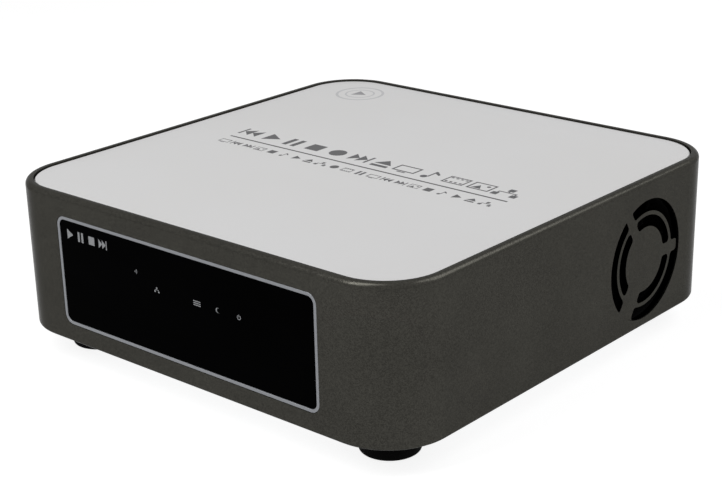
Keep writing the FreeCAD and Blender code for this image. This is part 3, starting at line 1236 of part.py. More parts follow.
def drive_cage():
    """Folded sheet: floor, two walls with lips over the drive, a front wall and feet flanges."""
    wall_top = CAGE_LIP_UNDER + CAGE_SHEET
    pieces = [centred_block(TRAY_X, CAGE_HALF, CAGE_FRONT, PANEL_BACK, CAGE_BOTTOM, CAGE_FLOOR_TOP)]
    front_top = PLUG_Z + CAGE_FRONT_RISE
    pieces.append(
        centred_block(TRAY_X, CAGE_HALF, CAGE_FRONT, CAGE_FRONT + CAGE_SHEET, CAGE_BOTTOM, front_top)
    )
    for side in SIDES:
        outer = TRAY_X + side * CAGE_HALF
        inner = outer - side * CAGE_SHEET
        x_low, x_high = sorted((inner, outer))
        pieces.append(block((x_low, CAGE_FRONT, CAGE_BOTTOM), (x_high, PANEL_BACK, wall_top)))
        x_low, x_high = sorted((inner, inner - side * CAGE_LIP))
        pieces.append(block((x_low, CAGE_FRONT, CAGE_LIP_UNDER), (x_high, PANEL_BACK, wall_top)))
        x_low, x_high = sorted((outer, outer + side * CAGE_FLANGE))
        for y in POST_ROWS:
            half = CAGE_FLANGE_LENGTH / 2
            pieces.append(block((x_low, y - half, CAGE_BOTTOM), (x_high, y + half, CAGE_FLOOR_TOP)))
    cuts = [rod(SMALL_SCREW_RADIUS, (x, y, CAGE_BOTTOM), Z_AXIS, CAGE_SHEET) for x, y in POST_PLACES]
    length, width = CAGE_SLOT
    corner = width / 2 - ROUND_END_TRIM
    for index in range(CAGE_SLOT_COUNT):
        y = (index - (CAGE_SLOT_COUNT - 1) / 2) * CAGE_SLOT_PITCH + CAGE_SLOT_MIDDLE
        cuts.append(rounded_slab(length, width, corner, CAGE_BOTTOM, CAGE_FLOOR_TOP, TRAY_X, y))
    cuts.append(centred_block(
        PLUG_X, RISER_WIDTH / 2 + LOOSE_GAP, riser_back() - RISER_THICKNESS - LOOSE_GAP,
        riser_back() + LOOSE_GAP, CAGE_BOTTOM, CAGE_FLOOR_TOP,
    ))
    return fused(pieces).cut(cuts)


def cage_screws():
    screw = pan_screw(SMALL_SCREW_RADIUS, SMALL_HEAD_RADIUS, SMALL_HEAD_HEIGHT, CAGE_SHEET + CAGE_SCREW_REACH)
    return group([placed(screw, (x, y, CAGE_FLOOR_TOP)) for x, y in POST_PLACES])


def riser_back():
    """Plane of the riser board's face towards the drive."""
    return CAGE_FRONT + CAGE_SHEET + RISER_THICKNESS + LOOSE_GAP


def riser_board():
    """Upright board behind the drive bay, standing in a slot on the main board."""
    back = riser_back()
    low = BOARD_TOP + RISER_SEAT
    return centred_block(PLUG_X, RISER_WIDTH / 2, back - RISER_THICKNESS, back, low, RISER_TOP)


def riser_slot():
    width, depth, height = RISER_SLOT_SIZE
    middle = riser_back() - RISER_THICKNESS / 2
    top = BOARD_TOP + height
    body = centred_block(PLUG_X, width / 2, middle - depth / 2, middle + depth / 2, BOARD_TOP, top)
    slot = centred_block(
        PLUG_X, RISER_WIDTH / 2, middle - RISER_THICKNESS / 2, middle + RISER_THICKNESS / 2,
        BOARD_TOP + RISER_SEAT, top,
    )
    return body.cut(slot)


def drive_socket():
    """Socket on the riser board that takes the drive's plug."""
    width, height = SOCKET_SIZE
    tip = DRIVE_FRONT + PLUG_NOTCH[1] - PLUG_BASE[1] - SOCKET_TIP_GAP
    body = centred_block(PLUG_X, width / 2, riser_back(), tip, PLUG_Z - height / 2, PLUG_Z + height / 2)
    half = PLUG_TONGUE[0] / 2 + SOCKET_SLOT_GAP
    rise = PLUG_TONGUE[2] / 2 + SOCKET_SLOT_GAP
    slot_back = tip - PLUG_TONGUE[1] - SOCKET_SLOT_GAP
    slot = centred_block(PLUG_X, half, slot_back, tip, PLUG_Z - rise, PLUG_Z + rise)
    return body.cut(slot)


# ---- Tray ----
def drive_screw_places():
    return [(side, DRIVE_FRONT + place) for side in SIDES for place in DRIVE_SCREW_PLACES]


def tray_sled():
    """Folded sheet under and beside the drive, with two tabs for the bezel."""
    front = DRIVE_FRONT - SLED_LEAD
    wall_top = DRIVE_BOTTOM + TRAY_WALL_HEIGHT
    floor = centred_block(TRAY_X, SLED_HALF, front, BEZEL_FRONT, SLED_BOTTOM, DRIVE_BOTTOM)
    pieces = [floor]
    for side in SIDES:
        outer = TRAY_X + side * SLED_HALF
        x_low, x_high = sorted((outer, outer - side * TRAY_SHEET))
        pieces.append(block((x_low, front, SLED_BOTTOM), (x_high, BEZEL_FRONT, wall_top)))
        tab_x, tab_end = sorted((outer, outer - side * BEZEL_TAB_WIDTH))
        tab_low = (tab_x, BEZEL_FRONT - TRAY_SHEET, SLED_BOTTOM)
        pieces.append(block(tab_low, (tab_end, BEZEL_FRONT, wall_top)))
    sled = fused(pieces)
    cuts = bezel_screw_rods(BEZEL_FRONT - TRAY_SHEET, TRAY_SHEET)
    for side, y in drive_screw_places():
        start = (TRAY_X + side * SLED_HALF, y, DRIVE_BOTTOM + DRIVE_SCREW_HEIGHT)
        inwards = X_AXIS * -side
        cuts.append(rod(SCREW_RADIUS, start, inwards, TRAY_SHEET))
        cuts.append(rod(SCREW_HEAD_RADIUS + SEAT_GAP, start, inwards, TRAY_SCREW_HEAD))
    width, length, corner = SLED_SLOT
    for index in range(SLED_SLOT_COUNT):
        y = (index - (SLED_SLOT_COUNT - 1) / 2) * SLED_SLOT_PITCH + SLED_SLOT_MIDDLE
        cuts.append(rounded_slab(width, length, corner, SLED_BOTTOM, DRIVE_BOTTOM, TRAY_X, y))
    notch_half = PLUG_NOTCH[0] / 2 + NOTCH_MARGIN
    notch_end = DRIVE_FRONT + PLUG_NOTCH[1]
    cuts.append(centred_block(PLUG_X, notch_half, front, notch_end, SLED_BOTTOM, DRIVE_BOTTOM))
    return sled.cut(cuts)


def tray_bezel():
    """Faceplate of the tray: air slots, and two pairs of ears for the handle."""
    width = 2 * BEZEL_HALF
    height = BEZEL_TOP - BEZEL_BOTTOM
    middle = (BEZEL_TOP + BEZEL_BOTTOM) / 2
    plate = wall_slab(width, height, BEZEL_CORNER, TRAY_X, middle, BEZEL_FRONT, BEZEL_FACE)
    plate = plate.makeChamfer(BEZEL_CHAMFER, edges_in_plane_y(plate, BEZEL_FACE))
    ears = []
    for x in ear_places():
        ear = rod(EAR_RADIUS, (x - EAR_THICKNESS / 2, PIVOT_Y, PIVOT_Z), X_AXIS, EAR_THICKNESS)
        root = BEZEL_FACE - EAR_ROOT
        web = centred_block(x, EAR_THICKNESS / 2, root, PIVOT_Y, PIVOT_Z - EAR_RADIUS, PIVOT_Z + EAR_RADIUS)
        ears.append(ear.fuse(web))
    plate = fused([plate] + ears)
    cuts = [rod(PIN_RADIUS, (TRAY_X - HANDLE_SPAN, PIVOT_Y, PIVOT_Z), X_AXIS, 2 * HANDLE_SPAN)]
    slot_width, slot_height = BEZEL_SLOT
    corner = slot_width / 2 - ROUND_END_TRIM
    level = middle + BEZEL_SLOT_RISE
    for side in SIDES:
        for index in range(BEZEL_SLOT_COUNT):
            x = TRAY_X + side * (HANDLE_SPAN / 2 + BEZEL_SLOT_START + index * BEZEL_SLOT_PITCH)
            cuts.append(wall_slab(slot_width, slot_height, corner, x, level, BEZEL_FRONT, BEZEL_FACE))
    cuts += bezel_screw_rods(BEZEL_FRONT, BEZEL_HOLE_DEPTH)
    return plate.cut(cuts)


def ear_places():
    """Middles of the four ears: one each side of both eyes of the handle."""
    offset = HANDLE_EYE_WIDTH / 2 + LOOSE_GAP + EAR_THICKNESS / 2
    return [TRAY_X + arm * HANDLE_SPAN / 2 + side * offset for arm in SIDES for side in SIDES]


def bezel_screw_places():
    z = SLED_BOTTOM + BEZEL_TAB_HEIGHT
    return [(TRAY_X + side * (SLED_HALF - BEZEL_SCREW_INSET), z) for side in SIDES]


def bezel_screw_rods(y, length):
    return [rod(SMALL_SCREW_RADIUS, (x, y, z), Y_AXIS, length) for x, z in bezel_screw_places()]


def handle_pins():
    """One pin through each pair of ears."""
    length = HANDLE_EYE_WIDTH + 2 * LOOSE_GAP + 2 * EAR_THICKNESS
    return group([
        rod(PIN_RADIUS, (TRAY_X + arm * HANDLE_SPAN / 2 - length / 2, PIVOT_Y, PIVOT_Z), X_AXIS, length)
        for arm in SIDES
    ])


def tray_handle():
    """Bail of round bar, drawn hanging from its pins, with an eye at each end."""
    half = HANDLE_SPAN / 2
    low = PIVOT_Z - HANDLE_REACH
    arcs = []
    for side in SIDES:
        centre = Vec(TRAY_X + side * (half - HANDLE_BEND), PIVOT_Y, low + HANDLE_BEND)
        middle = centre + Vec(side * math.sqrt(0.5) * HANDLE_BEND, 0, -math.sqrt(0.5) * HANDLE_BEND)
        arm_end = centre + Vec(side * HANDLE_BEND, 0, 0)
        bar_end = centre + Vec(0, 0, -HANDLE_BEND)
        arcs.append((arm_end, middle, bar_end))
    left, right = arcs
    start = Vec(left[0].x, PIVOT_Y, PIVOT_Z)
    end = Vec(right[0].x, PIVOT_Y, PIVOT_Z)
    path = Part.Wire([
        Part.makeLine(start, left[0]),
        Part.Arc(*left).toShape(),
        Part.makeLine(left[2], right[2]),
        Part.Arc(right[2], right[1], right[0]).toShape(),
        Part.makeLine(right[0], end),
    ])
    section = Part.Wire([Part.makeCircle(HANDLE_SECTION, start, Z_AXIS)])
    bar = path.makePipeShell([section], True, False)
    eyes = [
        rod(HANDLE_EYE_RADIUS, (x - HANDLE_EYE_WIDTH / 2, PIVOT_Y, PIVOT_Z), X_AXIS, HANDLE_EYE_WIDTH)
        for x in (start.x, end.x)
    ]
    handle = bar.fuse(eyes)
    bores = [
        rod(PIN_RADIUS + PIVOT_GAP, (x - HANDLE_EYE_WIDTH, PIVOT_Y, PIVOT_Z), X_AXIS, 2 * HANDLE_EYE_WIDTH)
        for x in (start.x, end.x)
    ]
    return handle.cut(bores).removeSplitter()


# ---- Hard drive ----
def drive_body():
    half = DRIVE_WIDTH / 2
    top = DRIVE_TOP - DRIVE_COVER_THICKNESS
    body = block((TRAY_X - half, DRIVE_FRONT, DRIVE_BOTTOM), (TRAY_X + half, DRIVE_REAR, top))
    upright = [e for e in body.Edges if e.BoundBox.ZLength > DRIVE_HEIGHT / 2]
    body = body.makeFillet(DRIVE_EDGE, upright)
    cuts = [drive_board_space(DRIVE_BOARD_THICKNESS)]
    width, depth, height = PLUG_NOTCH
    cuts.append(centred_block(
        PLUG_X, width / 2, DRIVE_FRONT, DRIVE_FRONT + depth, DRIVE_BOTTOM, DRIVE_BOTTOM + height
    ))
    for side, y in drive_screw_places():
        start = (TRAY_X + side * half, y, DRIVE_BOTTOM + DRIVE_SCREW_HEIGHT)
        cuts.append(rod(SCREW_RADIUS, start, X_AXIS * -side, DRIVE_HOLE_DEPTH))
    y_low, y_high = [DRIVE_FRONT + end for end in DRIVE_POCKET_ENDS]
    z_low, z_high = [DRIVE_BOTTOM + level for level in DRIVE_POCKET_LEVELS]
    for side in SIDES:
        x_low, x_high = sorted((TRAY_X + side * half, TRAY_X + side * (half - DRIVE_POCKET_DEPTH)))
        cuts.append(block((x_low, y_low, z_low), (x_high, y_high, z_high)))
    return body.cut(cuts)


def drive_board_space(height):
    half = DRIVE_WIDTH / 2 - DRIVE_BOARD_INSET
    y_low = DRIVE_FRONT + PLUG_NOTCH[1] + DRIVE_BOARD_GAP
    return centred_block(TRAY_X, half, y_low, y_low + DRIVE_BOARD_LENGTH, DRIVE_BOTTOM, DRIVE_BOTTOM + height)


def drive_board():
    return drive_board_space(DRIVE_BOARD_THICKNESS)


def drive_cover():
    """Pressed lid with a raised round over the spindle and a smaller one over the arm's pivot."""
    low = DRIVE_TOP - DRIVE_COVER_THICKNESS
    width = DRIVE_WIDTH - 2 * DRIVE_COVER_INSET
    length = DRIVE_LENGTH - 2 * DRIVE_COVER_INSET
    middle = (DRIVE_FRONT + DRIVE_REAR) / 2
    lid = rounded_slab(width, length, DRIVE_COVER_CORNER, low, low + DRIVE_COVER_SHEET, TRAY_X, middle)
    spindle_place = (TRAY_X, DRIVE_REAR - DRIVE_WIDTH / 2, low)
    spindle = rod(DRIVE_WIDTH * SPINDLE_ROUND_SHARE, spindle_place, Z_AXIS, DRIVE_COVER_THICKNESS)
    pivot_place = (TRAY_X + ARM_ROUND_PLACE[0], DRIVE_FRONT + ARM_ROUND_PLACE[1], low)
    pivot = rod(ARM_ROUND_RADIUS, pivot_place, Z_AXIS, DRIVE_COVER_THICKNESS)
    return fused([lid, spindle, pivot])


def drive_plug():
    """Plug at the drive's front end: a base and its contact tongue."""
    width, depth, height = PLUG_BASE
    back = DRIVE_FRONT + PLUG_NOTCH[1]
    base = centred_block(PLUG_X, width / 2, back - depth, back, PLUG_Z - height / 2, PLUG_Z + height / 2)
    width, depth, height = PLUG_TONGUE
    front = back - PLUG_BASE[1] - depth
    tongue = centred_block(PLUG_X, width / 2, front, front + depth, PLUG_Z - height / 2, PLUG_Z + height / 2)
    return base.fuse(tongue)


def drive_screws():
    """Four screws through the sled's walls into the drive, and two through its tabs into the bezel."""
    screw = rod(SCREW_HEAD_RADIUS, (0, 0, -TRAY_SCREW_HEAD), Z_AXIS, TRAY_SCREW_HEAD)
    shank_length = DRIVE_SCREW_LENGTH - TRAY_SCREW_HEAD
    screw = screw.fuse(rod(SCREW_RADIUS, (0, 0, -DRIVE_SCREW_LENGTH), Z_AXIS, shank_length))
    screw = screw.cut(cross_cut(SCREW_HEAD_RADIUS * CROSS_REACH, TRAY_SCREW_HEAD * CROSS_DEPTH))
    pieces = []
    for side, y in drive_screw_places():
        position = (TRAY_X + side * SLED_HALF, y, DRIVE_BOTTOM + DRIVE_SCREW_HEIGHT)
        pieces.append(placed(screw, position, Y_AXIS, 90 * side))
    small_length = TRAY_SHEET + BEZEL_SCREW_REACH
    small = pan_screw(SMALL_SCREW_RADIUS, SMALL_HEAD_RADIUS, SMALL_HEAD_HEIGHT / 2, small_length)
    for x, z in bezel_screw_places():
        pieces.append(placed(small, (x, BEZEL_FRONT - TRAY_SHEET, z), X_AXIS, 90))
    return group(pieces)


NODES = (
    body_band, top_panel, panel_tape, base_plate, base_screws, rubber_feet, foot_screws,
    window_trim, front_window, display_board, display_screws, lamp_shroud, status_lamps, ir_receiver,
    display_ribbon, fan_grille, fan_frame, fan_bearing, fan_stator, fan_rotor, fan_magnet, fan_shaft,
    fan_screws, fan_wire, main_board, board_standoffs, board_screws, processor, heat_sink, memory_chips,
    capacitors, power_coils, clock_battery, rear_panel, rear_panel_screws, network_socket, data_sockets,
    video_socket, optical_socket, av_jacks, power_inlet, rocker_housing, power_rocker, reset_switch,
    reset_cap, cage_posts, drive_cage, cage_screws, riser_board, riser_slot, drive_socket, tray_sled,
    tray_bezel, tray_handle, handle_pins, drive_body, drive_board, drive_cover,
    drive_plug, drive_screws,
)


def main():
    os.makedirs("parts", exist_ok=True)
    for make in NODES:
        shape = make()
        shape.exportStep(os.path.join("parts", make.__name__ + ".step"))
        print(f"{make.__name__}: {len(shape.Solids)} solids, {shape.Volume:.1f} mm3, valid {shape.isValid()}")


main()
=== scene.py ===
"""Looks of the media player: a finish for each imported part, and the fine pieces that ride on the parts.

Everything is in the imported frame: metres, +Z up, front towards -Y, the table at z = 0.
"""
import json
import math

import bmesh
import bpy
from mathutils import Matrix, Vector


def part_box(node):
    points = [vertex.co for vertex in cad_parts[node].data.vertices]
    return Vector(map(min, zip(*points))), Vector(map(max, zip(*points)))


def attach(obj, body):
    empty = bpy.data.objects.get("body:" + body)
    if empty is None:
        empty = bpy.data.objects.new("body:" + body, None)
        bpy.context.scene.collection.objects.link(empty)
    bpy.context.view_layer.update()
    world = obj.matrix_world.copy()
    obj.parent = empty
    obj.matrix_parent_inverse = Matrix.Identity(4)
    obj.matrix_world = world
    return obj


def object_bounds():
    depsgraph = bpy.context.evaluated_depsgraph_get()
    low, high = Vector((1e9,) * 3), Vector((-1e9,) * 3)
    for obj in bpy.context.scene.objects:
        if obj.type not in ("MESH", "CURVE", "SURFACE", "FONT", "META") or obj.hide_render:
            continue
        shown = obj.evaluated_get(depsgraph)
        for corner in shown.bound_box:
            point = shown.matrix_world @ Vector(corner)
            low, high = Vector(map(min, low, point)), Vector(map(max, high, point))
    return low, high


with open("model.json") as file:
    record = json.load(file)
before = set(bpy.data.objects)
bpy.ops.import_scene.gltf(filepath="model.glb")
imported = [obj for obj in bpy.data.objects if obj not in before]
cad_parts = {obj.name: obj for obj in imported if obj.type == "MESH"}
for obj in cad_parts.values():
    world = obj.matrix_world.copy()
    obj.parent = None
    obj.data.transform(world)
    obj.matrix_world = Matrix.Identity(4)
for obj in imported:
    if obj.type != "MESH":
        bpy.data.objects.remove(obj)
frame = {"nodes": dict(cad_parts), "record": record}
CAD_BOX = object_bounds()
MM = 0.001
WELD = 1e-7               # metres within which points are one

# ---- Camera ----
CAMERA_AZIMUTH = math.radians(41.474)    # from straight in front, towards the fan's side
CAMERA_ELEVATION = math.radians(22.037)
CAMERA_ROLL = math.radians(-1.317)
CAMERA_PLACE = Vector((0.40359, -0.46120, 0.25942))
LENS = 81.40
SENSOR_WIDTH = 36.0
FRAME_WIDTH = 722.0       # pixels
FRAME_SHIFT = 60.0        # pixels that the frame is moved up

# ---- Studio ----
FLOOR_HALF = 4.0
FLOOR_CELLS = 8
FLOOR_TONE = 0.3
FLOOR_GLOW = 0.86         # added for rays that see the floor as background
FILL_STRENGTH = 0.2
SOFTBOXES = (             # name, azimuth and elevation in degrees, distance, width, height, watts
    ("front_softbox", -16.0, 57.0, 0.9, 0.34, 0.76, 4.9),
    ("side_softbox", 138.0, 46.0, 0.9, 0.6, 0.6, 3.0),
)

# ---- Patterns of the finishes, millimetres unless said ----
# Painted shade: inside these reaches, the walls of the fan's opening are coloured black, standing in for the
# shade there.
BORE_RADIUS = 24.05       # just outside the grille's opening in the band
GRILLE_REACH = 1.0        # further out on the grille, past the ends of its slots
GRILLE_SKIN = 0.12        # of the grille's face that keeps its paint colour; deeper, it carries painted shade
FLAKE_SIZE = 0.34
FLAKE_TILT = 0.07         # lean of a flake, as a share of the normal
CIRCUIT_CELL = 9.0        # patches of tracks that run one way
PATCH_ACROSS = 0.4        # share of the patches whose tracks run across;
PATCH_UP = 0.8            # those up to here run up the board,
PATCH_FILLED = 0.9        # and those past here are solid copper
TRACK_PITCH = 1.1
TRACK_SHARE = 0.42
VIA_PITCH = 3.6
VIA_RIM = 0.13            # shares of the pitch
VIA_BORE = 0.06
RIBBON_PITCH = 1.0
RIBBON_SHARE = 0.55
WINDING_RATE = 9.0        # radians of the coils' pattern in a millimetre
CAN_TOP = 0.7             # bare rim under a capacitor's top
CAN_TOP_EDGE = 0.2
STRIPE_PITCH = 5.5
STRIPE_SHARE = 0.14
STRIPE_WEAR = 0.35        # scuffs below this take the stripe off

# ---- Sockets, measured in each one's own box, millimetres ----
NETWORK_MOUTHS = ((6.0, 0.1, 10.4),)              # half width, bottom and top of each mouth
DATA_MOUTHS = ((6.4, 1.3, 6.7), (6.4, 8.9, 14.3))
VIDEO_MOUTHS = ((7.2, 0.6, 5.6),)
MOUTH_LIP = 0.4           # bare metal left round a mouth
JACK_PITCH = 12.5
JACK_FIRST = 5.4          # from the end of the row to the first jack's axis
JACK_RISE = 7.4
JACK_LENGTH = 9.3         # in front of its black block
JACK_INSERT = 3.72        # radius inside which a jack is coloured plastic
JACK_BORE = 1.9
CONTACT_ROWS = (          # socket, count, pitch, size of one, inset from the face, rise, lean in degrees
    ("network_socket", 8, 1.02, (0.4, 6.4, 0.24), 5.0, 8.6, 24.0),
    ("data_sockets", 4, 2.2, (1.1, 6.6, 0.12), 4.9, 4.5, 0.0),
    ("data_sockets", 4, 2.2, (1.1, 6.6, 0.12), 4.9, 12.1, 0.0),
    ("video_socket", 10, 0.9, (0.45, 6.0, 0.12), 4.6, 3.82, 0.0),
)
PLUG_ROW = ("drive_plug", 22, 1.5, (0.8, 3.6, 0.12), 3.6, 1.88, 0.0)

# ---- Small parts on the boards, millimetres ----
MEMORY_YS = (-4.0, 10.0, 24.0, 38.0)
MEMORY_LEGS = (9, 1.1)    # count and pitch along one end of a chip
LEG_SIZE = (1.2, 0.5, 0.3)
LEG_REACH = 0.4           # from the chip's end to the middle of a leg
LEG_RISE = 0.2
BOARD_REGIONS = (         # middle x and y, width, depth, columns, rows
    (37.0, 28.0, 14.0, 60.0, 7, 26),
    (-54.0, 20.0, 10.0, 76.0, 5, 32),
    (14.0, -28.0, 62.0, 26.0, 26, 11),
    (10.0, 55.0, 56.0, 16.0, 24, 7),
)
BOARD_FILL = 0.55         # share of the places that hold a part
BOARD_SEED = 11
DISPLAY_REGION = (110.0, 12.0, 40, 5)
DISPLAY_FILL = 0.4
DISPLAY_SEED = 5
PART_LIFT = 0.2           # of a part's middle over the board
PART_BODY = (1.3, 1.0, 0.8)
PART_ENDS = (1.8, 0.95, 0.7)
SMALLEST_PART = (0.6, 0.7, 0.8)      # shares of those sizes
LARGEST_PART = (1.5, 1.2, 1.2)

# ---- Printed marks, millimetres ----
PRINT_THICKNESS = 0.02
ARC_STEPS = 16
DOT_CORNERS = 18
WINDOW_SYMBOL = 2.0       # height of a pictogram over a lamp
RECEIVER_SYMBOL = 1.5
RECEIVER_SYMBOL_Z = 48.9
SYMBOL_DROP = 0.5         # below the lamps
LAMP_XS = (-12.9, 7.9, 18.3, 28.7)
TITLE_SYMBOL = 3.9        # pictograms in the window's upper left corner
TITLE_PITCH = 6.2
TITLE_INSET = 5.2
TOP_SYMBOL = 8.4          # bold pictograms across the top
TOP_PITCH = 12.0
TOP_ROW_X = 0.3
TOP_ROW_Y = 3.6
TOP_SMALL_SYMBOL = 4.2
TOP_SMALL_PITCH = 6.7
TOP_SMALL_COUNT = 21
TOP_SMALL_FIRST = 7       # place in the bold row of the small row's first pictogram
TOP_SMALL_SKIP = 5        # and places from each to the next
TOP_SMALL_Y = -11.2
TOP_RULE = 1.0
TOP_RULE_Y = -4.8
TOP_RULE_ENDS = (-70.0, 72.0)
ROUND_MARK = (-70.8, 78.0)           # middle of the faint round mark
ROUND_MARK_RINGS = ((10.4, 1.2), (6.4, 0.8))     # radius, width
ROUND_MARK_SYMBOL = 7.0
REAR_SYMBOL = 2.0
REAR_ROW_Z = 17.2
REAR_XS = (57.5, 40.0, 21.0, 2.0, -14.5, -29.0, -41.5, -54.0)      # under each socket
ROCKER_SYMBOL = 3.4
ROCKER_SYMBOL_RISE = 4.2
ROCKER_PIVOT = (55.6, 91.5, 52.4)
ROCKER_FRONT = 2.7        # from the pivot to the middle of the paddle's face
ROCKER_SLOPE = 1.1 / 7.6  # of each half of its V face
ROCKER_TILT = math.radians(-8.0)

# ---- Drive's label and screws, millimetres ----
LABEL_SIZE = (58.0, 42.0)
LABEL_MIDDLE = 48.4       # from the rear end of the cover
LABEL_THICKNESS = 0.06
LABEL_MARGIN = 2.0
LABEL_LINE = 0.4
LABEL_RULES = 4
LABEL_RULE_PITCH = 6.5
COVER_STEP = 0.6          # from the raised round down to the lid
COVER_SCREW_INSET = 4.2
COVER_SCREW_GRID = (2, 3)            # across and along the lid
COVER_SCREW_STEPS = 24
STAR_LOBES = 6
COVER_SCREW_RINGS = (     # radius, depth of the star's lobes, height
    (2.4, 0.0, 0.0), (2.4, 0.0, 0.3), (2.1, 0.0, 0.5), (1.0, 0.14, 0.5), (1.0, 0.14, 0.15),
)


def shade(red, green=None, blue=None):
    """Surface colour from display values, 0 to 255; one value is a grey."""
    values = (red, red if green is None else green, red if blue is None else blue)
    linear = []
    for value in values:
        share = value / 255
        linear.append(share / 12.92 if share <= 0.04045 else ((share + 0.055) / 1.055) ** 2.4)
    return (*linear, 1.0)


# ---- Node trees ----
class Wire:
    """One output of a node. Arithmetic on it adds Math nodes; wire["Name"] is the node's other output."""

    def __init__(self, graph, socket):
        self.graph = graph
        self.socket = socket

    def __getitem__(self, name):
        return Wire(self.graph, self.socket.node.outputs[name])

    def __add__(self, other):
        return self.graph.math("ADD", self, other)

    def __sub__(self, other):
        return self.graph.math("SUBTRACT", self, other)

    def __rsub__(self, other):
        return self.graph.math("SUBTRACT", other, self)

    def __mul__(self, other):
        return self.graph.math("MULTIPLY", self, other)

    def __truediv__(self, other):
        return self.graph.math("DIVIDE", self, other)

    def __rtruediv__(self, other):
        return self.graph.math("DIVIDE", other, self)

    def __pow__(self, other):
        return self.graph.math("POWER", self, other)

    def __lt__(self, other):
        return self.graph.math("LESS_THAN", self, other)

    def __gt__(self, other):
        return self.graph.math("GREATER_THAN", self, other)

    def __abs__(self):
        return self.graph.math("ABSOLUTE", self)

    __radd__ = __add__
    __rmul__ = __mul__


class Graph:
    """A node tree under construction, for a material, the world or a Geometry Nodes modifier."""

    def __init__(self, tree):
        self.tree = tree
        tree.nodes.clear()

    def node(self, kind, settings=None, sockets=None):
        """Adds a node: its settings first, then the values or wires of its sockets."""
        made = self.tree.nodes.new(kind)
        for name, value in (settings or {}).items():
            setattr(made, name, value)
        for name, value in (sockets or {}).items():
            if isinstance(value, Wire):
                self.tree.links.new(value.socket, made.inputs[name])
            else:
                made.inputs[name].default_value = value
        return Wire(self, made.outputs[0]) if made.outputs else None

    def math(self, operation, *values):
        return self.node("ShaderNodeMath", {"operation": operation}, dict(enumerate(values)))

    def vector(self, operation, *values):
        return self.node("ShaderNodeVectorMath", {"operation": operation}, dict(enumerate(values)))


class Finish(Graph):
    """A procedural material whose patterns read the piece's own coordinates, in millimetres."""

    def __init__(self, name):
        self.material = bpy.data.materials.new(name)
        self.material.use_nodes = True
        super().__init__(self.material.node_tree)
        own = self.node("ShaderNodeTexCoord")["Object"]
        self.place = self.vector("MULTIPLY", own, (1 / MM, 1 / MM, 1 / MM))
        split = self.node("ShaderNodeSeparateXYZ", sockets={0: self.place})
        self.x = split["X"]
        self.y = split["Y"]
        self.z = split["Z"]

    def noise(self, size, detail=2.0, stretch=(1.0, 1.0, 1.0)):
        """Soft cloud, 0 to 1, with patches of the given size; stretch lengthens them along an axis."""
        place = self.vector("DIVIDE", self.place, stretch)
        return self.node("ShaderNodeTexNoise", sockets={"Vector": place, "Scale": 1 / size, "Detail": detail})

    def cells(self, size):
        """Distance from the middle of the nearest of many small cells, in shares of their size."""
        return self.node("ShaderNodeTexVoronoi", sockets={"Vector": self.place, "Scale": 1 / size})

    def random(self, size):
        """One random number, 0 to 1, for each small cell."""
        return self.node("ShaderNodeSeparateColor", sockets={0: self.cells(size)["Color"]})

    def mix(self, share, first, second):
        """Colour from first to second. The node's colours are its sockets 6 and 7, and output 2."""
        mixed = self.node(
            "ShaderNodeMix", {"data_type": "RGBA", "clamp_factor": True}, {0: share, 6: first, 7: second}
        )
        return Wire(self, mixed.socket.node.outputs[2])

    def step(self, value, low, high):
        """0 below low, 1 above high, smooth between."""
        return self.node(
            "ShaderNodeMapRange", {"interpolation_type": "SMOOTHSTEP"},
            {"Value": value, "From Min": low, "From Max": high},
        )

    def bump(self, height, depth):
        """Normal of a surface with relief of that depth, in millimetres."""
        return self.node("ShaderNodeBump", sockets={"Height": height, "Distance": depth * MM})

    def facets(self, size, tilt):
        """Normal that leans another way in each small cell, as metal flakes lie."""
        lean = self.vector("SUBTRACT", self.cells(size)["Color"], (0.5, 0.5, 0.5))
        lean = self.vector("MULTIPLY", lean, (tilt, tilt, tilt))
        normal = self.vector("ADD", self.node("ShaderNodeNewGeometry")["Normal"], lean)
        return self.vector("NORMALIZE", normal)

    def inside(self, low, high):
        """1 between two corners given in metres, 0 elsewhere."""
        share = 1.0
        for axis, start, end in zip((self.x, self.y, self.z), low, high):
            middle = (start + end) / 2 / MM
            half = (end - start) / 2 / MM
            share = share * (abs(axis - middle) < half)
        return share

    def surface(self, colour, roughness, metallic=0.0, normal=None, constants=None):
        """Closes the material; constants are values that are the same all over the surface."""
        sockets = {"Base Color": colour, "Roughness": roughness, "Metallic": metallic}
        if normal is not None:
            sockets["Normal"] = normal
        sockets.update(constants or {})
        shader = self.node("ShaderNodeBsdfPrincipled", sockets=sockets)
        self.node("ShaderNodeOutputMaterial", sockets={"Surface": shader})
        return self.material


def grained(name, dark, light, size, rough, metallic=0.0, relief=None, detail=3.0,
            stretch=(1.0, 1.0, 1.0), constants=None):
    """Material whose tone, roughness and relief all follow one noise; rough is its least and most."""
    finish = Finish(name)
    grain = finish.noise(size, detail, stretch)
    least, most = rough
    normal = finish.bump(grain, relief) if relief else None
    colour = finish.mix(grain, dark, light)
    return finish.surface(colour, least + (most - least) * grain, metallic, normal, constants)


# ---- Finishes of the case ----
def from_axis(finish, node):
    """Distance from the line along X through the middle of a part, in millimetres."""
    low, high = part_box(node)
    middle = (low + high) / 2 / MM
    return ((finish.y - middle.y) ** 2.0 + (finish.z - middle.z) ** 2.0) ** 0.5


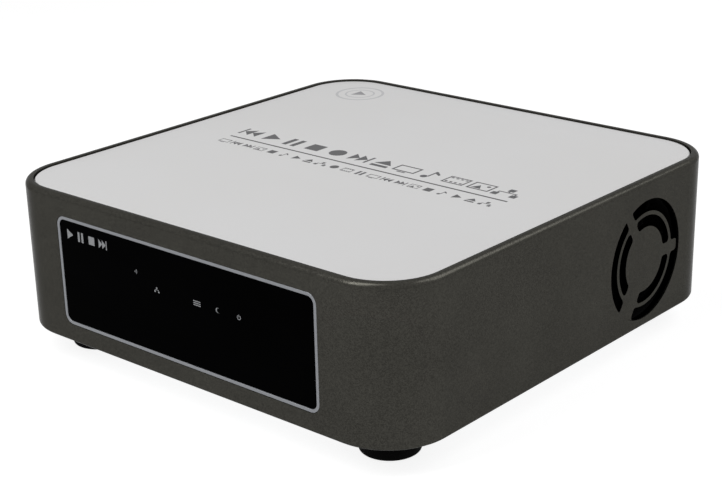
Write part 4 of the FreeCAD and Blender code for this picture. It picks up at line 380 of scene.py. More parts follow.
def flake_paint(name, shade_radius, shade_depth):
    """Charcoal paint full of fine metal flakes; in the fan's opening, deeper than shade_depth, it turns to
    painted shade: black that reflects nothing.
    """
    paint = Finish(name)
    flake = paint.random(FLAKE_SIZE)
    cloud = paint.noise(26.0, detail=3.0)
    colour = paint.mix(flake * 0.6 + cloud * 0.4, shade(42, 41, 38), shade(70, 69, 64))
    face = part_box("fan_grille")[1].x / MM
    in_opening = (from_axis(paint, "fan_grille") < shade_radius) * (paint.x > 0.0)
    # Painted shade: walls inside the fan's opening, deeper than shade_depth, are coloured black.
    bare_metal_and_painted_shade = in_opening * (paint.x < face - shade_depth)
    colour = paint.mix(bare_metal_and_painted_shade, colour, shade(1))
    # Full metallic with the black colour leaves this painted shade without any reflection.
    metallic = paint.math("MAXIMUM", 0.88, bare_metal_and_painted_shade)
    constants = {"Specular IOR Level": 0.1, "Specular Tint": (0.5, 0.5, 0.5, 1.0)}
    flakes = paint.facets(FLAKE_SIZE, FLAKE_TILT)
    return paint.surface(colour, 0.22 + 0.08 * cloud, metallic, flakes, constants)


def band_paint():
    return flake_paint("band_paint", BORE_RADIUS, 0.0)


# The grille keeps its paint colour only in a thin skin; its slot walls below carry painted shade.
def grille_paint():
    return flake_paint("grille_paint", BORE_RADIUS + GRILLE_REACH, GRILLE_SKIN)


def fan_black():
    """Matt black plastic of the fan."""
    dull = {"Specular IOR Level": 0.04}
    return grained("fan_black", shade(9), shade(17), 0.5, rough=(0.7, 0.9), relief=0.03, constants=dull)


def panel_paint():
    """Satin pale grey with a grain that is only just there."""
    paint = Finish("panel_paint")
    grain = paint.noise(0.35, detail=3.0)
    cloud = paint.noise(80.0)
    colour = paint.mix(cloud, shade(203, 202, 201), shade(207, 207, 208))
    return paint.surface(colour, 0.42 + 0.12 * grain, 0.0, paint.bump(grain, 0.006))


def foam_tape():
    foam = Finish("foam_tape")
    pore = foam.cells(0.5)
    colour = foam.mix(pore, shade(6), shade(20))
    return foam.surface(colour, 0.9, 0.0, foam.bump(pore, 0.1), {"Specular IOR Level": 0.1})


def trim_silver():
    """Satin silver of the window's frame, drawn along its length."""
    return grained(
        "trim_silver", shade(118, 120, 124), shade(146, 148, 152), 0.25, rough=(0.34, 0.48),
        metallic=0.85, relief=0.004, stretch=(14.0, 1.0, 1.0),
    )


def window_black():
    """Smoked pane, nearly black, with the faint smears of handling."""
    return grained(
        "window_black", shade(1), shade(4, 4, 5), 18.0, rough=(0.12, 0.24), detail=4.0,
        stretch=(1.6, 1.0, 0.7), constants={"Specular IOR Level": 0.003},
    )


def foot_rubber():
    rubber = Finish("foot_rubber")
    grain = rubber.noise(0.6, detail=4.0)
    bloom = rubber.noise(9.0)
    colour = rubber.mix(grain * 0.5 + bloom * 0.5, shade(2), shade(9))
    dull = {"Specular IOR Level": 0.05}
    return rubber.surface(colour, 0.72 + 0.2 * bloom, 0.0, rubber.bump(grain, 0.05), dull)


def zinc_sheet():
    """Zinc-plated sheet: faint spangle under the rolling lines."""
    sheet = Finish("zinc_sheet")
    spangle = sheet.random(7.0)
    rolled = sheet.noise(0.3, detail=3.0, stretch=(1.0, 26.0, 26.0))
    colour = sheet.mix(spangle * 0.5 + rolled * 0.5, shade(150, 153, 156), shade(198, 200, 201))
    return sheet.surface(colour, 0.3 + 0.16 * spangle, 0.9, sheet.bump(rolled, 0.006))


def screw_steel():
    return grained(
        "screw_steel", shade(168, 168, 166), shade(214, 213, 210), 1.2, rough=(0.2, 0.42),
        metallic=1.0, relief=0.01, detail=4.0,
    )


def screw_black():
    return grained(
        "screw_black", shade(16), shade(46), 0.9, rough=(0.32, 0.52), metallic=0.7, relief=0.01, detail=4.0,
    )


def black_plastic():
    """Moulded black plastic with a spark-eroded grain."""
    plastic = Finish("black_plastic")
    grain = plastic.noise(0.4, detail=3.0)
    flow = plastic.noise(22.0)
    colour = plastic.mix(grain * 0.6 + flow * 0.4, shade(17), shade(31))
    return plastic.surface(colour, 0.46 + 0.16 * grain, 0.0, plastic.bump(grain, 0.03))


def rocker_gloss():
    """Polished black plastic with fine rubbing marks."""
    return grained(
        "rocker_gloss", shade(12), shade(24), 0.5, rough=(0.18, 0.32), relief=0.003, detail=4.0,
        stretch=(1.0, 1.0, 9.0),
    )


# ---- Finishes of the inner parts ----
def circuit_board(name, across, up):
    """Green solder mask over tracks, with plated holes; across and up name the board's two axes."""
    board = Finish(name)
    first = getattr(board, across)
    second = getattr(board, up)
    patch = board.node("ShaderNodeCombineXYZ", sockets={
        0: board.math("FLOOR", first / CIRCUIT_CELL), 1: board.math("FLOOR", second / CIRCUIT_CELL),
    })
    way = board.node("ShaderNodeTexWhiteNoise", sockets={"Vector": patch})["Value"]
    tracks_across = (way < PATCH_ACROSS) * (board.math("FRACT", second / TRACK_PITCH) < TRACK_SHARE)
    tracks_up = (way > PATCH_ACROSS) * (board.math("FRACT", first / TRACK_PITCH) < TRACK_SHARE)
    track = tracks_across + tracks_up * (way < PATCH_UP) + (way > PATCH_FILLED)
    hole = board.cells(VIA_PITCH)
    plated = hole < VIA_RIM
    green = board.mix(track, shade(14, 62, 34), shade(28, 96, 52))
    colour = board.mix(plated, green, shade(188, 184, 168))
    colour = board.mix(hole < VIA_BORE, colour, shade(12))
    return board.surface(colour, 0.34 + 0.1 * track, 0.9 * plated, board.bump(track, 0.03))


def main_circuit():
    return circuit_board("main_circuit", "x", "y")


def upright_circuit():
    return circuit_board("upright_circuit", "x", "z")


def lamp_clear():
    glassy = {"Transmission Weight": 0.7, "IOR": 1.52}
    return grained(
        "lamp_clear", shade(206, 214, 218), shade(236, 240, 242), 0.8, rough=(0.12, 0.22), detail=2.0,
        constants=glassy,
    )


def ribbon_cable():
    """White flat cable whose tinned conductors show through."""
    cable = Finish("ribbon_cable")
    wire = cable.math("FRACT", cable.x / RIBBON_PITCH) < RIBBON_SHARE
    colour = cable.mix(wire, shade(226, 226, 220), shade(176, 178, 178))
    return cable.surface(colour, 0.45, 0.0, cable.bump(wire, 0.05))


def bearing_bronze():
    bronze = Finish("bearing_bronze")
    pore = bronze.cells(0.35)
    colour = bronze.mix(pore, shade(112, 78, 40), shade(176, 132, 76))
    return bronze.surface(colour, 0.42, 0.9, bronze.bump(pore, 0.03))


def coil_copper():
    """Enamelled wire wound in layers round the fan's axis."""
    wire = Finish("coil_copper")
    turn = abs(wire.math("SINE", from_axis(wire, "fan_stator") * WINDING_RATE))
    layer = abs(wire.math("SINE", wire.x * WINDING_RATE))
    colour = wire.mix(turn * layer, shade(96, 42, 18), shade(196, 104, 52))
    return wire.surface(colour, 0.3, 0.85, wire.bump(turn * layer, 0.12))


def wire_black():
    return grained("wire_black", shade(12), shade(28), 1.5, rough=(0.35, 0.55))


def brass_pillar():
    """Turned brass: rings round each pillar."""
    return grained(
        "brass_pillar", shade(172, 138, 68), shade(216, 186, 112), 0.25, rough=(0.24, 0.4),
        metallic=1.0, relief=0.01, detail=2.0, stretch=(60.0, 60.0, 1.0),
    )


def chip_black():
    """Moulded epoxy with a matt, cloudy grain."""
    return grained(
        "chip_black", shade(22, 22, 23), shade(44, 44, 45), 0.3, rough=(0.55, 0.75), relief=0.02, detail=4.0,
    )


def sink_aluminium():
    """Extruded fins with die lines along them."""
    return grained(
        "sink_aluminium", shade(148, 150, 152), shade(196, 198, 200), 0.35, rough=(0.34, 0.48),
        metallic=0.95, relief=0.02, stretch=(1.0, 40.0, 1.0),
    )


def capacitor_sleeve():
    """Dark sleeve with a pale stripe, and a bare aluminium top."""
    can = Finish("capacitor_sleeve")
    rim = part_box("capacitors")[1].z / MM - CAN_TOP
    bare_metal_and_painted_shade = can.step(can.z, rim, rim + CAN_TOP_EDGE)
    scuff = can.noise(0.8, detail=3.0)
    stripe = can.math("FRACT", (can.x + can.y) / STRIPE_PITCH) < STRIPE_SHARE
    sleeve = can.mix(scuff, shade(22, 30, 48), shade(32, 42, 62))
    sleeve = can.mix(stripe * (scuff > STRIPE_WEAR), sleeve, shade(170, 176, 186))
    colour = can.mix(bare_metal_and_painted_shade, sleeve, shade(196, 197, 198))
    return can.surface(colour, 0.4 - 0.1 * bare_metal_and_painted_shade, 0.95 * bare_metal_and_painted_shade, can.bump(scuff, 0.008))


def cell_steel():
    return grained(
        "cell_steel", shade(170, 171, 172), shade(212, 212, 211), 0.3, rough=(0.26, 0.36),
        metallic=1.0, relief=0.004, stretch=(16.0, 1.0, 1.0),
    )


def ferrite():
    core = Finish("ferrite")
    grain = core.noise(0.5, detail=4.0)
    colour = core.mix(grain, shade(34, 34, 36), shade(62, 61, 62))
    return core.surface(colour, 0.6, 0.25, core.bump(grain, 0.04))


# ---- Finishes of the sockets ----
def nickel_shell(name, node, mouths):
    """Nickel-plated shell; the walls and tongues inside its mouths are black plastic."""
    metal = Finish(name)
    low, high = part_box(node)
    scuff = metal.noise(1.4, detail=4.0)
    bright = metal.mix(scuff, shade(176, 176, 172), shade(216, 215, 210))
    middle = (low.x + high.x) / 2
    deep = 0.0
    for half_width, bottom, top in mouths:
        corner = (middle - half_width * MM, low.y, low.z + bottom * MM)
        far = (middle + half_width * MM, high.y - MOUTH_LIP * MM, low.z + top * MM)
        deep = deep + metal.inside(corner, far)
    colour = metal.mix(deep, bright, metal.mix(scuff, shade(14), shade(26)))
    return metal.surface(colour, 0.24 + 0.2 * scuff, 0.95 - 0.95 * deep, metal.bump(scuff, 0.01))


def network_shell():
    return nickel_shell("network_shell", "network_socket", NETWORK_MOUTHS)


def data_shell():
    return nickel_shell("data_shell", "data_sockets", DATA_MOUTHS)


def video_shell():
    return nickel_shell("video_shell", "video_socket", VIDEO_MOUTHS)


def jack_metal():
    """Plated shells round coloured inserts, on black blocks behind the panel."""
    jack = Finish("jack_metal")
    low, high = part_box("av_jacks")
    scuff = jack.noise(0.9, detail=4.0)
    colour = jack.mix(scuff, shade(188, 184, 172), shade(222, 219, 208))
    insert = 0.0
    for index, tint in enumerate((shade(186, 40, 34), shade(224, 222, 214), shade(222, 180, 40))):
        middle_x = low.x / MM + JACK_FIRST + index * JACK_PITCH
        middle_z = low.z / MM + JACK_RISE
        radius = ((jack.x - middle_x) ** 2.0 + (jack.z - middle_z) ** 2.0) ** 0.5
        collar = (radius < JACK_INSERT) * (radius > JACK_BORE)
        colour = jack.mix(collar, colour, tint)
        insert = insert + collar
    behind = jack.y < high.y / MM - JACK_LENGTH
    colour = jack.mix(behind, colour, shade(20))
    plastic = jack.math("MAXIMUM", insert, behind)
    return jack.surface(colour, 0.24 + 0.24 * plastic, 1.0 - plastic, jack.bump(scuff, 0.006))


# ---- Finishes of the tray and drive ----
def handle_steel():
    return grained(
        "handle_steel", shade(176, 178, 181), shade(214, 215, 217), 3.0, rough=(0.14, 0.28),
        metallic=1.0, relief=0.006, detail=4.0,
    )


def cast_silver():
    """Die-cast aluminium: an even, slightly pebbled skin."""
    metal = Finish("cast_silver")
    pebble = metal.noise(0.9, detail=4.0)
    cloud = metal.noise(16.0)
    colour = metal.mix(pebble * 0.6 + cloud * 0.4, shade(126, 128, 130), shade(172, 174, 176))
    return metal.surface(colour, 0.46 + 0.14 * pebble, 0.85, metal.bump(pebble, 0.05))


def cover_steel():
    """Stainless lid, brushed along the drive."""
    return grained(
        "cover_steel", shade(176, 178, 180), shade(212, 213, 214), 0.2, rough=(0.24, 0.38),
        metallic=1.0, relief=0.006, detail=4.0, stretch=(1.0, 60.0, 1.0),
    )


def gold_plate():
    return grained(
        "gold_plate", shade(196, 152, 66), shade(228, 190, 104), 0.6, rough=(0.22, 0.34), metallic=1.0,
    )


def tinned():
    return grained(
        "tinned", shade(170, 172, 174), shade(206, 208, 209), 0.5, rough=(0.3, 0.46), metallic=0.95,
    )


def ceramic():
    """Bodies of small resistors and capacitors, each its own tone."""
    body = Finish("ceramic")
    tone = body.random(2.6)
    colour = body.mix(tone > 0.5, shade(20, 20, 22), shade(148, 124, 92))
    return body.surface(colour, 0.5 + 0.1 * tone)


def print_ink(name, dark, light):
    """Screen-printed ink, a little patchy."""
    return grained(name, dark, light, 0.4, rough=(0.55, 0.65))


FINISHES = {
    "band_paint": band_paint, "panel_paint": panel_paint, "tape": foam_tape, "zinc_sheet": zinc_sheet,
    "screw_steel": screw_steel, "screw_black": screw_black, "foot_rubber": foot_rubber,
    "trim_silver": trim_silver, "window_black": window_black, "board_green": main_circuit,
    "black_plastic": black_plastic, "lamp_clear": lamp_clear, "ribbon": ribbon_cable,
    "bearing_bronze": bearing_bronze, "coil_copper": coil_copper, "wire_black": wire_black,
    "brass_pillar": brass_pillar, "chip_black": chip_black, "sink_aluminium": sink_aluminium,
    "can_aluminium": capacitor_sleeve, "jack_metal": jack_metal, "rocker_gloss": rocker_gloss,
    "handle_steel": handle_steel, "cast_silver": cast_silver, "cover_steel": cover_steel,
    "magnet_grey": ferrite,
}
OWN_FINISHES = {
    "display_board": upright_circuit, "riser_board": upright_circuit, "clock_battery": cell_steel,
    "power_coils": ferrite, "network_socket": network_shell, "data_sockets": data_shell,
    "video_socket": video_shell, "fan_grille": grille_paint, "fan_frame": fan_black,
    "fan_rotor": fan_black,
}


def finish_parts():
    """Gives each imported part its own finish, or else that of its material slot."""
    made = {}
    for subpart in frame["record"]["subparts"]:
        node = subpart["node"]
        make = OWN_FINISHES.get(node) or FINISHES[subpart["material_slot"]]
        if make not in made:
            made[make] = make()
        frame["nodes"][node].material_slots[0].material = made[make]


# ---- Flat shapes, in units of a symbol's height ----
def rectangle(u_low, v_low, u_high, v_high):
    return [(u_low, v_low), (u_high, v_low), (u_high, v_high), (u_low, v_high)]


def arc(radius, start, end, steps=ARC_STEPS, u=0.0, v=0.0):
    """Points on an arc, angles in degrees from the right."""
    points = []
    for index in range(steps + 1):
        angle = math.radians(start + (end - start) * index / steps)
        points.append((u + radius * math.cos(angle), v + radius * math.sin(angle)))
    return points


def bow(radius, width, start, end, u=0.0, v=0.0):
    """Outline of a curved band."""
    outer = arc(radius + width / 2, start, end, u=u, v=v)
    inner = arc(radius - width / 2, end, start, u=u, v=v)
    return outer + inner


def ring(radius, width):
    """Closed band in two halves."""
    return [bow(radius, width, start, start + 180.0) for start in (0.0, 180.0)]


def dot(radius, u=0.0, v=0.0):
    return arc(radius, 0.0, 360.0 - 360.0 / DOT_CORNERS, steps=DOT_CORNERS - 1, u=u, v=v)


def play_symbol():
    return [[(-0.35, -0.5), (0.5, 0.0), (-0.35, 0.5)]]


def pause_symbol():
    return [rectangle(-0.4, -0.5, -0.12, 0.5), rectangle(0.12, -0.5, 0.4, 0.5)]


def stop_symbol():
    return [rectangle(-0.42, -0.42, 0.42, 0.42)]


def record_symbol():
    return [dot(0.45)]


def next_symbol():
    return [
        [(-0.55, -0.45), (-0.05, 0.0), (-0.55, 0.45)], [(-0.05, -0.45), (0.45, 0.0), (-0.05, 0.45)],
        rectangle(0.47, -0.45, 0.6, 0.45),
    ]


def back_symbol():
    return [[(-u, v) for u, v in reversed(outline)] for outline in next_symbol()]


def eject_symbol():
    return [[(-0.5, -0.1), (0.5, -0.1), (0.0, 0.5)], rectangle(-0.5, -0.5, 0.5, -0.26)]


def power_symbol():
    return [bow(0.4, 0.13, 125.0, 415.0), rectangle(-0.065, 0.02, 0.065, 0.52)]


def moon_symbol():
    """Crescent: outer arc one way, inner arc back."""
    return [arc(0.48, 60.0, 300.0) + arc(0.46, 285.0, 75.0, u=0.24)]


def disk_symbol():
    """Stack of platters seen from the side."""
    return [rectangle(-0.9, v - 0.09, 0.9, v + 0.09) for v in (-0.38, 0.0, 0.38)]


def network_symbol():
    """Three boxes joined by lines."""
    places = ((0, 0.33), (-0.5, -0.33), (0.5, -0.33))
    boxes = [rectangle(u - 0.17, v - 0.17, u + 0.17, v + 0.17) for u, v in places]
    lines = [rectangle(-0.5, -0.04, 0.5, 0.04), rectangle(-0.04, 0.04, 0.04, 0.16)]
    lines += [rectangle(u - 0.04, -0.16, u + 0.04, -0.04) for u in (-0.46, 0.46)]
    return boxes + lines


def signal_symbol():
    """Dot with two waves."""
    return [dot(0.14, u=-0.3), bow(0.42, 0.12, -50.0, 50.0, u=-0.3), bow(0.72, 0.12, -50.0, 50.0, u=-0.3)]


def plug_symbol():
    """Line over three dashes, for direct current."""
    dashes = [rectangle(u - 0.14, -0.22, u + 0.14, -0.08) for u in (-0.46, 0.0, 0.46)]
    return [rectangle(-0.6, 0.08, 0.6, 0.22)] + dashes


def frame_outline(half_width, half_height, line):
    """Four bars round a rectangle."""
    return [
        rectangle(-half_width, -half_height, half_width, line - half_height),
        rectangle(-half_width, half_height - line, half_width, half_height),
        rectangle(-half_width, line - half_height, line - half_width, half_height - line),
        rectangle(half_width - line, line - half_height, half_width, half_height - line),
    ]


def picture_symbol():
    hill = [(-0.42, -0.3), (0.1, -0.3), (-0.16, 0.14)]
    return frame_outline(0.6, 0.45, 0.09) + [hill, dot(0.1, u=0.28, v=0.14)]


def screen_symbol():
    return frame_outline(0.65, 0.4, 0.1) + [rectangle(-0.25, -0.55, 0.25, -0.46)]


def note_symbol():
    flag = [(0.02, 0.5), (0.02, 0.26), (0.34, 0.06), (0.34, 0.2)]
    return [dot(0.18, u=-0.2, v=-0.35), rectangle(-0.08, -0.28, 0.02, 0.5), flag]


def film_symbol():
    places = [(u, v) for u in (-0.4, -0.13, 0.13, 0.4) for v in (-0.26, 0.26)]
    holes = [rectangle(u - 0.07, v - 0.06, u + 0.07, v + 0.06) for u, v in places]
    return frame_outline(0.6, 0.45, 0.08) + holes


def on_symbol():
    return [rectangle(-0.08, -0.5, 0.08, 0.5)]


def off_symbol():
    return ring(0.42, 0.15)


# ---- Meshes ----
def new_piece(name, work, finish, body):
    """Turns a bmesh into a piece that rides on a body."""
    bmesh.ops.remove_doubles(work, verts=work.verts, dist=WELD)
    bmesh.ops.recalc_face_normals(work, faces=work.faces)
    mesh = bpy.data.meshes.new(name)
    work.to_mesh(mesh)
    work.free()
    mesh.materials.append(finish)
    piece = bpy.data.objects.new(name, mesh)
    bpy.context.scene.collection.objects.link(piece)
    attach(piece, body)


def add_prism(work, outline, place, thickness):
    """Closed slab on an outline. place(u, v, height) gives the point of the frame."""
    low = [work.verts.new(place(u, v, 0.0)) for u, v in outline]
    high = [work.verts.new(place(u, v, thickness)) for u, v in outline]
    work.faces.new(low)
    work.faces.new(high)
    add_wall(work, low, high)


def add_wall(work, low, high):
    """Closed band of faces between two rings of as many points."""
    count = len(low)
    for index in range(count):
        following = (index + 1) % count
        work.faces.new((low[index], low[following], high[following], high[index]))


def print_piece(name, symbols, place, finish, body, thickness=PRINT_THICKNESS):
    """Piece of thin slabs on symbols given as (outlines, u, v, height), in millimetres."""
    work = bmesh.new()
    for outlines, middle_u, middle_v, height in symbols:
        for outline in outlines:
            sized = [((middle_u + u * height) * MM, (middle_v + v * height) * MM) for u, v in outline]
            add_prism(work, sized, place, thickness * MM)
    new_piece(name, work, finish, body)


def symbol_row(symbols, first_u, pitch, v, height):
    """Symbols of one height at an even pitch along u."""
    return [(symbol, first_u + index * pitch, v, height) for index, symbol in enumerate(symbols)]


def window_marks():
    """Pale pictograms on the front of the pane, over the receiver and the lamps, and in its corner."""
    low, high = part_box("front_window")
    lamps_low, lamps_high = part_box("status_lamps")
    receiver_low, receiver_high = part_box("ir_receiver")
    lamp_z = (lamps_low.z + lamps_high.z) / 2 / MM - SYMBOL_DROP
    receiver_x = (receiver_low.x + receiver_high.x) / 2 / MM

    def place(u, v, height):
        return Vector((u, low.y - height, v))

    symbols = [(signal_symbol(), receiver_x, RECEIVER_SYMBOL_Z, RECEIVER_SYMBOL)]
    lamps = (network_symbol(), disk_symbol(), moon_symbol(), power_symbol())
    symbols += [(symbol, x, lamp_z, WINDOW_SYMBOL) for symbol, x in zip(lamps, LAMP_XS)]
    ink = print_ink("window_ink", shade(150, 152, 156), shade(186, 188, 190))
    print_piece("window_marks", symbols, place, ink, "case")
    title = (play_symbol(), pause_symbol(), stop_symbol(), next_symbol())
    start, level = low.x / MM + TITLE_INSET, high.z / MM - TITLE_INSET
    symbols = symbol_row(title, start, TITLE_PITCH, level, TITLE_SYMBOL)
    print_piece("window_title", symbols, place, ink, "case")


def top_marks():
    """Row of player pictograms over a thin rule, a small row under it, and a faint round mark."""
    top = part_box("top_panel")[1].z

    def place(u, v, height):
        return Vector((u, v, top + height))

    bold = (
        back_symbol(), play_symbol(), pause_symbol(), stop_symbol(), record_symbol(), next_symbol(),
        eject_symbol(), screen_symbol(), note_symbol(), film_symbol(), picture_symbol(), network_symbol(),
    )
    places = range(TOP_SMALL_FIRST, TOP_SMALL_FIRST + TOP_SMALL_COUNT * TOP_SMALL_SKIP, TOP_SMALL_SKIP)
    small = [bold[number % len(bold)] for number in places]
    left, right = TOP_RULE_ENDS
    rule = [rectangle(left, -TOP_RULE / 2, right, TOP_RULE / 2)]
    start = TOP_ROW_X - (len(bold) - 1) * TOP_PITCH / 2
    small_start = TOP_ROW_X - (len(small) - 1) * TOP_SMALL_PITCH / 2
    symbols = symbol_row(bold, start, TOP_PITCH, TOP_ROW_Y, TOP_SYMBOL)
    symbols.append((rule, 0.0, TOP_RULE_Y, 1.0))
    symbols += symbol_row(small, small_start, TOP_SMALL_PITCH, TOP_SMALL_Y, TOP_SMALL_SYMBOL)
    ink = print_ink("top_ink", shade(56, 56, 58), shade(78, 78, 80))
    print_piece("top_marks", symbols, place, ink, "case")
    rings = [(ring(radius, width), *ROUND_MARK, 1.0) for radius, width in ROUND_MARK_RINGS]
    faint = print_ink("faint_ink", shade(180, 180, 182), shade(187, 187, 189))
    print_piece("round_mark", rings, place, faint, "case")
    middle = [(play_symbol(), *ROUND_MARK, ROUND_MARK_SYMBOL)]
    soft = print_ink("soft_ink", shade(130, 130, 132), shade(142, 142, 144))
    print_piece("round_mark_symbol", middle, place, soft, "case")


def rear_marks():
    """Dark pictograms under the sockets on the rear panel."""
    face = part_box("rear_panel")[1].y

    def place(u, v, height):
        return Vector((-u, face + height, v))

    row = (
        plug_symbol(), network_symbol(), disk_symbol(), screen_symbol(),
        signal_symbol(), screen_symbol(), note_symbol(), note_symbol(),
    )
    symbols = [(symbol, -x, REAR_ROW_Z, REAR_SYMBOL) for symbol, x in zip(row, REAR_XS)]
    ink = print_ink("rear_ink", shade(26), shade(44))
    print_piece("rear_panel_marks", symbols, place, ink, "case")


def rocker_marks():
    """On and off marks on the two halves of the rocker's face."""
    pivot_x, pivot_y, pivot_z = ROCKER_PIVOT

    def place(u, v, height):
        y = ROCKER_FRONT * MM + abs(v) * ROCKER_SLOPE + height
        turned_y = y * math.cos(ROCKER_TILT) - v * math.sin(ROCKER_TILT)
        turned_z = y * math.sin(ROCKER_TILT) + v * math.cos(ROCKER_TILT)
        return Vector((pivot_x * MM - u, pivot_y * MM + turned_y, pivot_z * MM + turned_z))

    symbols = [
        (on_symbol(), 0.0, ROCKER_SYMBOL_RISE, ROCKER_SYMBOL),
        (off_symbol(), 0.0, -ROCKER_SYMBOL_RISE, ROCKER_SYMBOL),
    ]
    ink = print_ink("rocker_ink", shade(198), shade(222))
    print_piece("rocker_marks", symbols, place, ink, "rocker")


def drive_label():
    """Blank paper label with a ruled frame, on the raised round of the drive's cover."""
    low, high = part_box("drive_cover")
    middle_x = (low.x + high.x) / 2 / MM
    middle_y = high.y / MM - LABEL_MIDDLE
    width, depth = LABEL_SIZE

    def place(u, v, height):
        return Vector((u, v, high.z + height))

    def place_ink(u, v, height):
        return place(u, v, LABEL_THICKNESS * MM + height)

    sheet = [rectangle(-width / 2, -depth / 2, width / 2, depth / 2)]
    paper = print_ink("label_paper", shade(214, 214, 208), shade(230, 230, 225))
    symbols = [(sheet, middle_x, middle_y, 1.0)]
    print_piece("drive_label", symbols, place, paper, "tray", LABEL_THICKNESS)
    rules = frame_outline(width / 2 - LABEL_MARGIN, depth / 2 - LABEL_MARGIN, LABEL_LINE)
    for index in range(LABEL_RULES):
        v = (index - (LABEL_RULES - 1) / 2) * LABEL_RULE_PITCH
        rules.append(rectangle(-width / 3, v, width / 3, v + LABEL_LINE))
    ink = print_ink("label_ink", shade(60), shade(84))
    symbols = [(rules, middle_x, middle_y, 1.0)]
    print_piece("drive_label_rules", symbols, place_ink, ink, "tray")


# ---- Repeated pieces, by Geometry Nodes ----
def new_tree(name, inputs):
    """Geometry Nodes tree that takes the named inputs and gives one geometry."""
    tree = bpy.data.node_groups.new(name, "GeometryNodeTree")
    for label, kind in inputs:
        tree.interface.new_socket(label, in_out="INPUT", socket_type=kind)
    tree.interface.new_socket("Geometry", in_out="OUTPUT", socket_type="NodeSocketGeometry")
    graph = Graph(tree)
    return graph, graph.node("NodeGroupInput")


def close_tree(graph, instances, material):
    """Makes the copies real, with their material, and gives the finished tree."""
    real = graph.node("GeometryNodeRealizeInstances", sockets={0: instances})
    done = graph.node("GeometryNodeSetMaterial", sockets={"Geometry": real, "Material": material})
    graph.node("NodeGroupOutput", sockets={0: done})
    return graph.tree


def row_tree():
    """Thin blocks at an even pitch along a line."""
    graph, given = new_tree("row_of_blocks", (
        ("Count", "NodeSocketInt"), ("Start", "NodeSocketVector"), ("Step", "NodeSocketVector"),
        ("Size", "NodeSocketVector"), ("Turn", "NodeSocketVector"), ("Material", "NodeSocketMaterial"),
    ))
    line = graph.node("GeometryNodeMeshLine", {"mode": "OFFSET"}, {
        "Count": given["Count"], "Start Location": given["Start"], "Offset": given["Step"],
    })
    block = graph.node("GeometryNodeMeshCube", sockets={"Size": given["Size"]})
    copies = graph.node("GeometryNodeInstanceOnPoints", sockets={
        "Points": line, "Instance": block, "Rotation": given["Turn"],
    })
    return close_tree(graph, copies, given["Material"])


def grid_points(graph, given):
    """Flat grid about the origin, from the tree's own inputs."""
    return graph.node("GeometryNodeMeshGrid", sockets={
        "Size X": given["Width"], "Size Y": given["Depth"],
        "Vertices X": given["Columns"], "Vertices Y": given["Rows"],
    })


def scatter_tree():
    """Blocks at some of the places of a grid, each with its own size and turn."""
    graph, given = new_tree("scattered_blocks", (
        ("Middle", "NodeSocketVector"), ("Width", "NodeSocketFloat"), ("Depth", "NodeSocketFloat"),
        ("Columns", "NodeSocketInt"), ("Rows", "NodeSocketInt"), ("Lean", "NodeSocketVector"),
        ("Share", "NodeSocketFloat"), ("Seed", "NodeSocketInt"), ("Size", "NodeSocketVector"),
        ("Material", "NodeSocketMaterial"),
    ))
    seed = given["Seed"]      # random values: socket 6 is the chance, 0 and 1 or 4 and 5 the range
    kept = graph.node("FunctionNodeRandomValue", {"data_type": "BOOLEAN"}, {6: given["Share"], 8: seed})
    turned = graph.node("FunctionNodeRandomValue", {"data_type": "INT"}, {4: 0, 5: 1, 8: seed})
    quarter = graph.math("MULTIPLY", turned[2], math.pi / 2)
    lying = graph.node("ShaderNodeCombineXYZ", sockets={2: quarter})
    grown = graph.node("FunctionNodeRandomValue", {"data_type": "FLOAT_VECTOR"}, {
        0: SMALLEST_PART, 1: LARGEST_PART, 8: seed,
    })
    block = graph.node("GeometryNodeMeshCube", sockets={"Size": given["Size"]})
    copies = graph.node("GeometryNodeInstanceOnPoints", sockets={
        "Points": grid_points(graph, given), "Selection": kept[3], "Instance": block,
        "Rotation": lying, "Scale": grown,
    })
    set_down = graph.node("GeometryNodeTransform", sockets={
        "Geometry": copies, "Translation": given["Middle"], "Rotation": given["Lean"],
    })
    return close_tree(graph, set_down, given["Material"])


def grid_tree():
    """Copies of the mesh it is given, at the places of a grid."""
    graph, given = new_tree("grid_of_copies", (
        ("Geometry", "NodeSocketGeometry"), ("Middle", "NodeSocketVector"), ("Width", "NodeSocketFloat"),
        ("Depth", "NodeSocketFloat"), ("Columns", "NodeSocketInt"), ("Rows", "NodeSocketInt"),
        ("Material", "NodeSocketMaterial"),
    ))
    copies = graph.node("GeometryNodeInstanceOnPoints", sockets={
        "Points": grid_points(graph, given), "Instance": given["Geometry"],
    })
    placed = graph.node("GeometryNodeTransform", sockets={
        "Geometry": copies, "Translation": given["Middle"],
    })
    return close_tree(graph, placed, given["Material"])


def run_tree(tree, values, mesh):
    """Plain mesh that a tree makes from the values and a mesh."""
    holder = bpy.data.objects.new("holder", mesh)
    bpy.context.scene.collection.objects.link(holder)
    modifier = holder.modifiers.new("grow", "NODES")
    modifier.node_group = tree
    for item in tree.interface.items_tree:
        if item.in_out == "INPUT" and item.name in values:
            modifier[item.identifier] = values[item.name]
    made = bpy.data.meshes.new_from_object(holder.evaluated_get(bpy.context.evaluated_depsgraph_get()))
    bpy.data.objects.remove(holder)
    return made


def grow_piece(name, tree, runs, finish, body, mesh=None):
    """One piece from a tree run once for each set of values."""
    mesh = mesh or bpy.data.meshes.new("nothing")
    work = bmesh.new()
    for values in runs:
        grown = run_tree(tree, {**values, "Material": finish}, mesh)
        work.from_mesh(grown)
        bpy.data.meshes.remove(grown)
    bpy.data.meshes.remove(mesh)
    new_piece(name, work, finish, body)


